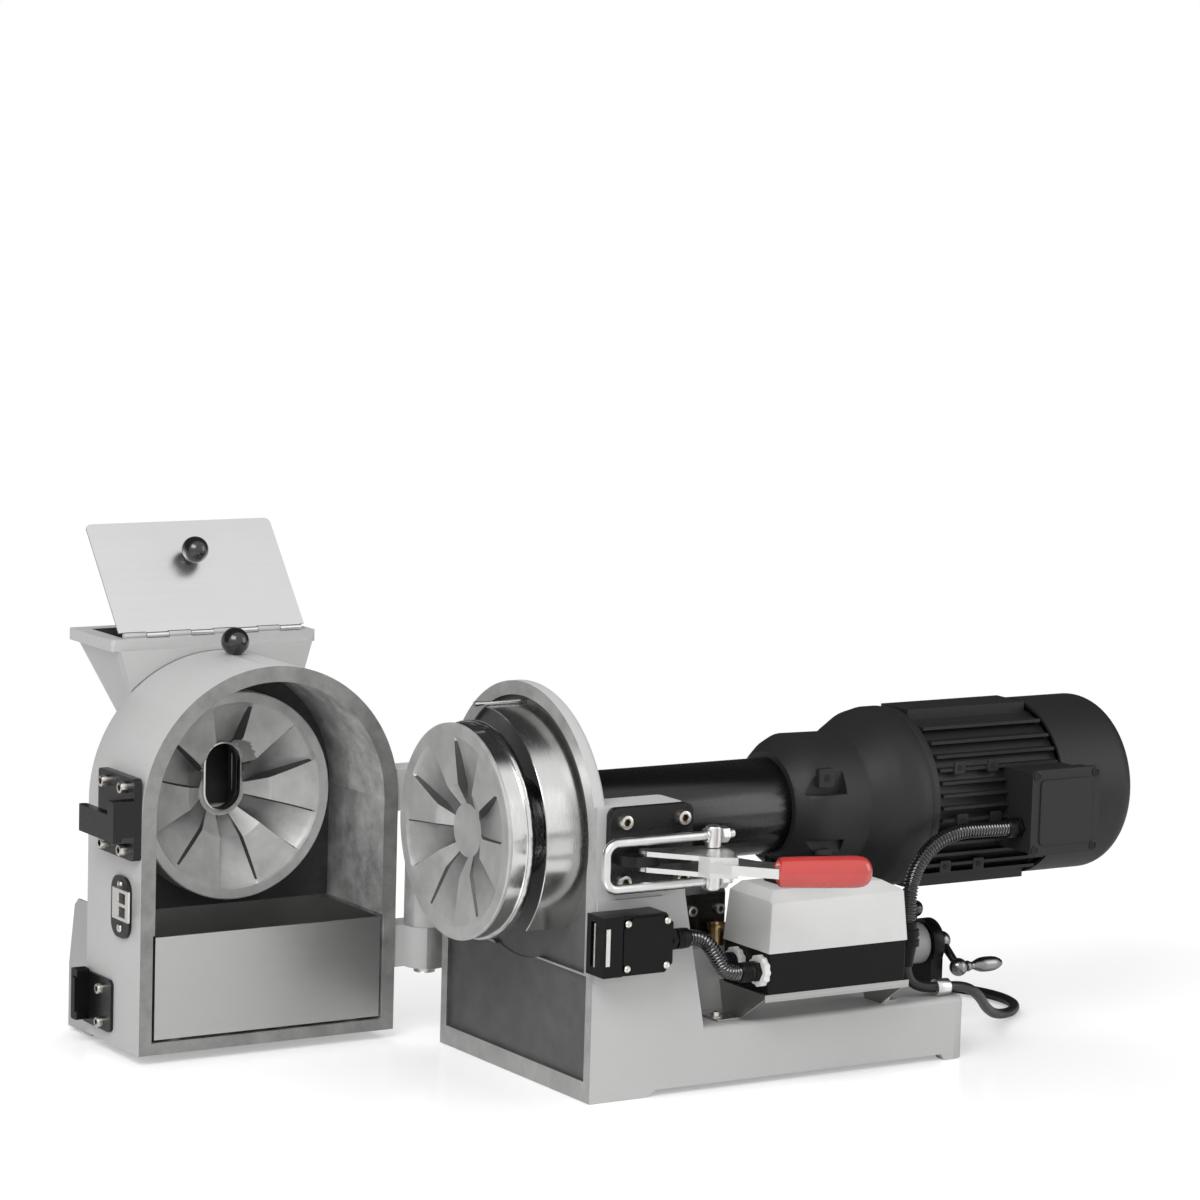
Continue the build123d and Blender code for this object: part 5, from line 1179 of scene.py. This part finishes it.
# Each kind of boss: its outline and height, and its hole's depth into it, radius and length.
BOSS_OUTLINE = rounded(-6.5, -6, 6.5, 6, 1.5, 3)
BOSS_BACK, BOSS_H = 0.5, 2.0
BOSS_HOLE = (1.2, 2.6, 4.2)
POCKET_SPOTS = ((304, -54, SHAFT_Z + 34), (304, -54, SHAFT_Z - 44))
POCKET_OUTLINE = rounded(-9, -9, 9, 9, 2, 3)
POCKET_H = 6.5
POCKET_HOLE = (-2, 3.6, 4.7)
LID_PANEL = (511, 197, 574, 261)
LID_CORNER = 6
LID_Y = -123.6
LID_RAISED = 2.0


def boss_spots():
    """Places of the bosses between the fins, on the motor frame's round."""
    spots = product(BOSS_X, BOSS_UP)
    return [(x, -math.sqrt(FRAME_R**2 - up**2), SHAFT_Z + up) for x, up in spots]


# A hole drawn as a short cylinder standing just out of its boss, near black as painted shade.
def bore(shape, spot, hole):
    back, r, length = hole
    shape.turned((spot[0], spot[1] + back, spot[2]), "front", [(0, r), (length, r)], sides=24)


def make_motor_bosses():
    """Square screw bosses between the fins and in the housing's pockets, with their holes as near-black
    painted shade.
    """
    shape = Shape()
    for x, y, z in boss_spots():
        shape.prism((x, y - BOSS_BACK, z), "front", BOSS_OUTLINE, BOSS_H)
    for spot in POCKET_SPOTS:
        shape.prism(spot, "front", POCKET_OUTLINE, POCKET_H)
    piece("motor_bosses", shape, "base", "charcoal", bevel=0.5)
    holes = Shape()
    for spot in boss_spots():
        bore(holes, spot, BOSS_HOLE)
    for spot in POCKET_SPOTS:
        bore(holes, spot, POCKET_HOLE)
    piece("motor_boss_holes", holes, "base", "hole")


def make_lid_panel():
    """The raised field on the connection box's lid."""
    lid = Shape()
    outline = [(z, x) for x, z in rounded(*LID_PANEL, LID_CORNER)]
    lid.prism((0, LID_Y, 0), "y", outline, -LID_RAISED)
    piece("terminal_lid_panel", lid, "base", "charcoal", bevel=0.7)


# ---- safety switch
def make_switch_trim():
    """Bright contact strips in the switch's head, and its key's slot edges."""
    shape = Shape()
    shape.block(-9.6, -8.9, -152.4, -150.4, 131, 171)
    shape.block(-7.0, -2.6, -167.5, -166.8, 134, 168)
    piece("switch_strips", shape, "base", "strip", bevel=0.2)


# ---- per-face finishes
def paint_node(name, back, rules, base):
    """Give each face of a CAD node the finish of the first rule that its middle meets."""
    mesh = NODES[name].data
    mesh.materials.clear()
    mesh.materials.append(MATERIAL[base])
    for key, _ in rules:
        mesh.materials.append(MATERIAL[key])
    turn = back.to_3x3().normalized()
    for polygon in mesh.polygons:
        p = back @ polygon.center
        n = turn @ polygon.normal
        for i, (_, meets) in enumerate(rules):
            if meets(p, n):
                polygon.material_index = i + 1
                break


# A face looks along an axis from this share of it, and square to the axis below the other.
FACING = 0.9
SQUARE = 0.2
FACE_X = 0.4
RECESS_X = 5.6
RECESS_R = 122.6
RECESS_HALF = 124.4
RECESS_Z = (18, 200)
QUILL_BORE_R = 47
RIM_X = -0.8
CHAMBER_X = (-110.6, -0.2)
CHAMBER_HALF = 120.6
CHAMBER_R = 120.8
CHAMBER_Z = 120.5
TRAY_HALF = 122.6
TRAY_Z = (19.5, 122)
SLOT_WALL_X = -109.5
SLOT_WALL_HALF = SLOT_HALF + 0.6
SLOT_WALL_Z = (SLOT_Z[0] - 1, SLOT_Z[1] + 1)
# The hopper's middle line leans outwards, from its foot to its mouth.
HOPPER_FOOT = (-131, 215)
HOPPER_LEAN = 32 / 167
HOPPER_TOP = 380.5
KEY_Y = NEAR_Y - 3.2


def shaft_distance(p):
    return math.hypot(p.y, p.z - SHAFT_Z)


def finish_base():
    """Ground face, darker recess and black bore of the base casting."""

    def rim(p, n):
        return p.x < FACE_X and n.x < -FACING

    def recess(p, n):
        tray = abs(p.y) < RECESS_HALF and RECESS_Z[0] < p.z < RECESS_Z[1]
        looks = n.x < -FACING or abs(n.x) < SQUARE
        return p.x < RECESS_X and looks and (shaft_distance(p) < RECESS_R or tray)

    def quill_bore(p, n):
        return shaft_distance(p) < QUILL_BORE_R and abs(n.x) < 0.3 and p.x > 0

    rules = [("base_face", rim), ("tube", quill_bore), ("recess", recess)]
    paint_node("base_casting", BASE.inverted(), rules, "paint")


def finish_door():
    """Ground face, bright chamber walls and a chamber back in near-black painted shade, on the door
    casting.
    """

    def rim(p, n):
        return p.x > RIM_X and n.x > FACING

    def chamber(p, n):
        low = TRAY_Z[0] < p.z < TRAY_Z[1] and abs(p.y) < TRAY_HALF
        arch = p.z < SHAFT_Z or shaft_distance(p) < CHAMBER_R
        high = p.z >= CHAMBER_Z and abs(p.y) < CHAMBER_HALF and arch
        return CHAMBER_X[0] < p.x < CHAMBER_X[1] and (low or high)

    # Faces of the chamber's back and beside the slot get the near-black painted shade.
    def back(p, n):
        beside = abs(p.y) < SLOT_WALL_HALF and SLOT_WALL_Z[0] < p.z < SLOT_WALL_Z[1]
        return (beside and p.x < SLOT_WALL_X) or (chamber(p, n) and n.x > FACING)

    rules = [("face", rim), ("chamber_back_shade", back), ("chamber", chamber)]
    paint_node("door_casting", DOOR.inverted(), rules, "paint")


def finish_hopper():
    """Painted shade: the near-black inside of the hopper's throat."""

    def inside(p, n):
        middle = HOPPER_FOOT[0] - HOPPER_LEAN * (p.z - HOPPER_FOOT[1])
        inwards = n.dot(Vector((p.x - middle, p.y, 0))) < 0
        return inwards and -SQUARE < n.z < 0.95 and p.z < HOPPER_TOP

    paint_node("feed_hopper", DOOR.inverted(), [("chamber_back_shade", inside)], "paint")


def finish_key():
    """Bright edge of the safety switch's key."""

    def edge(p, n):
        return p.y < KEY_Y

    paint_node("actuator_key", DOOR.inverted(), [("strip", edge)], "black")


# Widths of the rounded edges of CAD nodes, in millimetres.
ROUND_NODES = {
    1.2: ("control_lid", "gearbox_housing"),
    1.0: ("base_casting", "door_casting", "feed_hopper", "latch_hook", "shaft_tube"),
    0.9: ("lever_yoke",),
    0.8: ("clamp_plate", "terminal_box", "spindle_housing", "switch_housing"),
    0.6: ("control_box", "gap_indicator", "switch_bracket", "disc_carrier"),
    0.5: ("interlock_switch", "motor_frame", "drawer_switch", "hinge_pin"),
    0.4: ("switch_flap", "brass_cap", "cord_clip"),
    0.3: ("actuator_key", "box_bracket"),
}


def round_nodes():
    for width, names in ROUND_NODES.items():
        for name in names:
            round_edges(NODES[name], width, weld=True)


# ---- scene
make_camera()
make_world()
make_lights()
make_floor()
finish_nodes()
make_lead()
corrugated("motor_conduit.ribbed", MOTOR_HOSE)
corrugated("switch_conduit.ribbed", SWITCH_HOSE)
finish_base()
finish_door()
finish_hopper()
finish_key()
round_nodes()
make_moving_disc()
make_fixed_disc()
make_feed_rim()
make_bow()
make_trunnions()
make_grip()
make_clamp_screws()
make_door_screws()
make_gland_nuts()
make_fittings()
make_motor_bosses()
make_lid_panel()
make_small_screws()
make_switch_trim()
bpy.context.scene.view_settings.view_transform = "Standard"
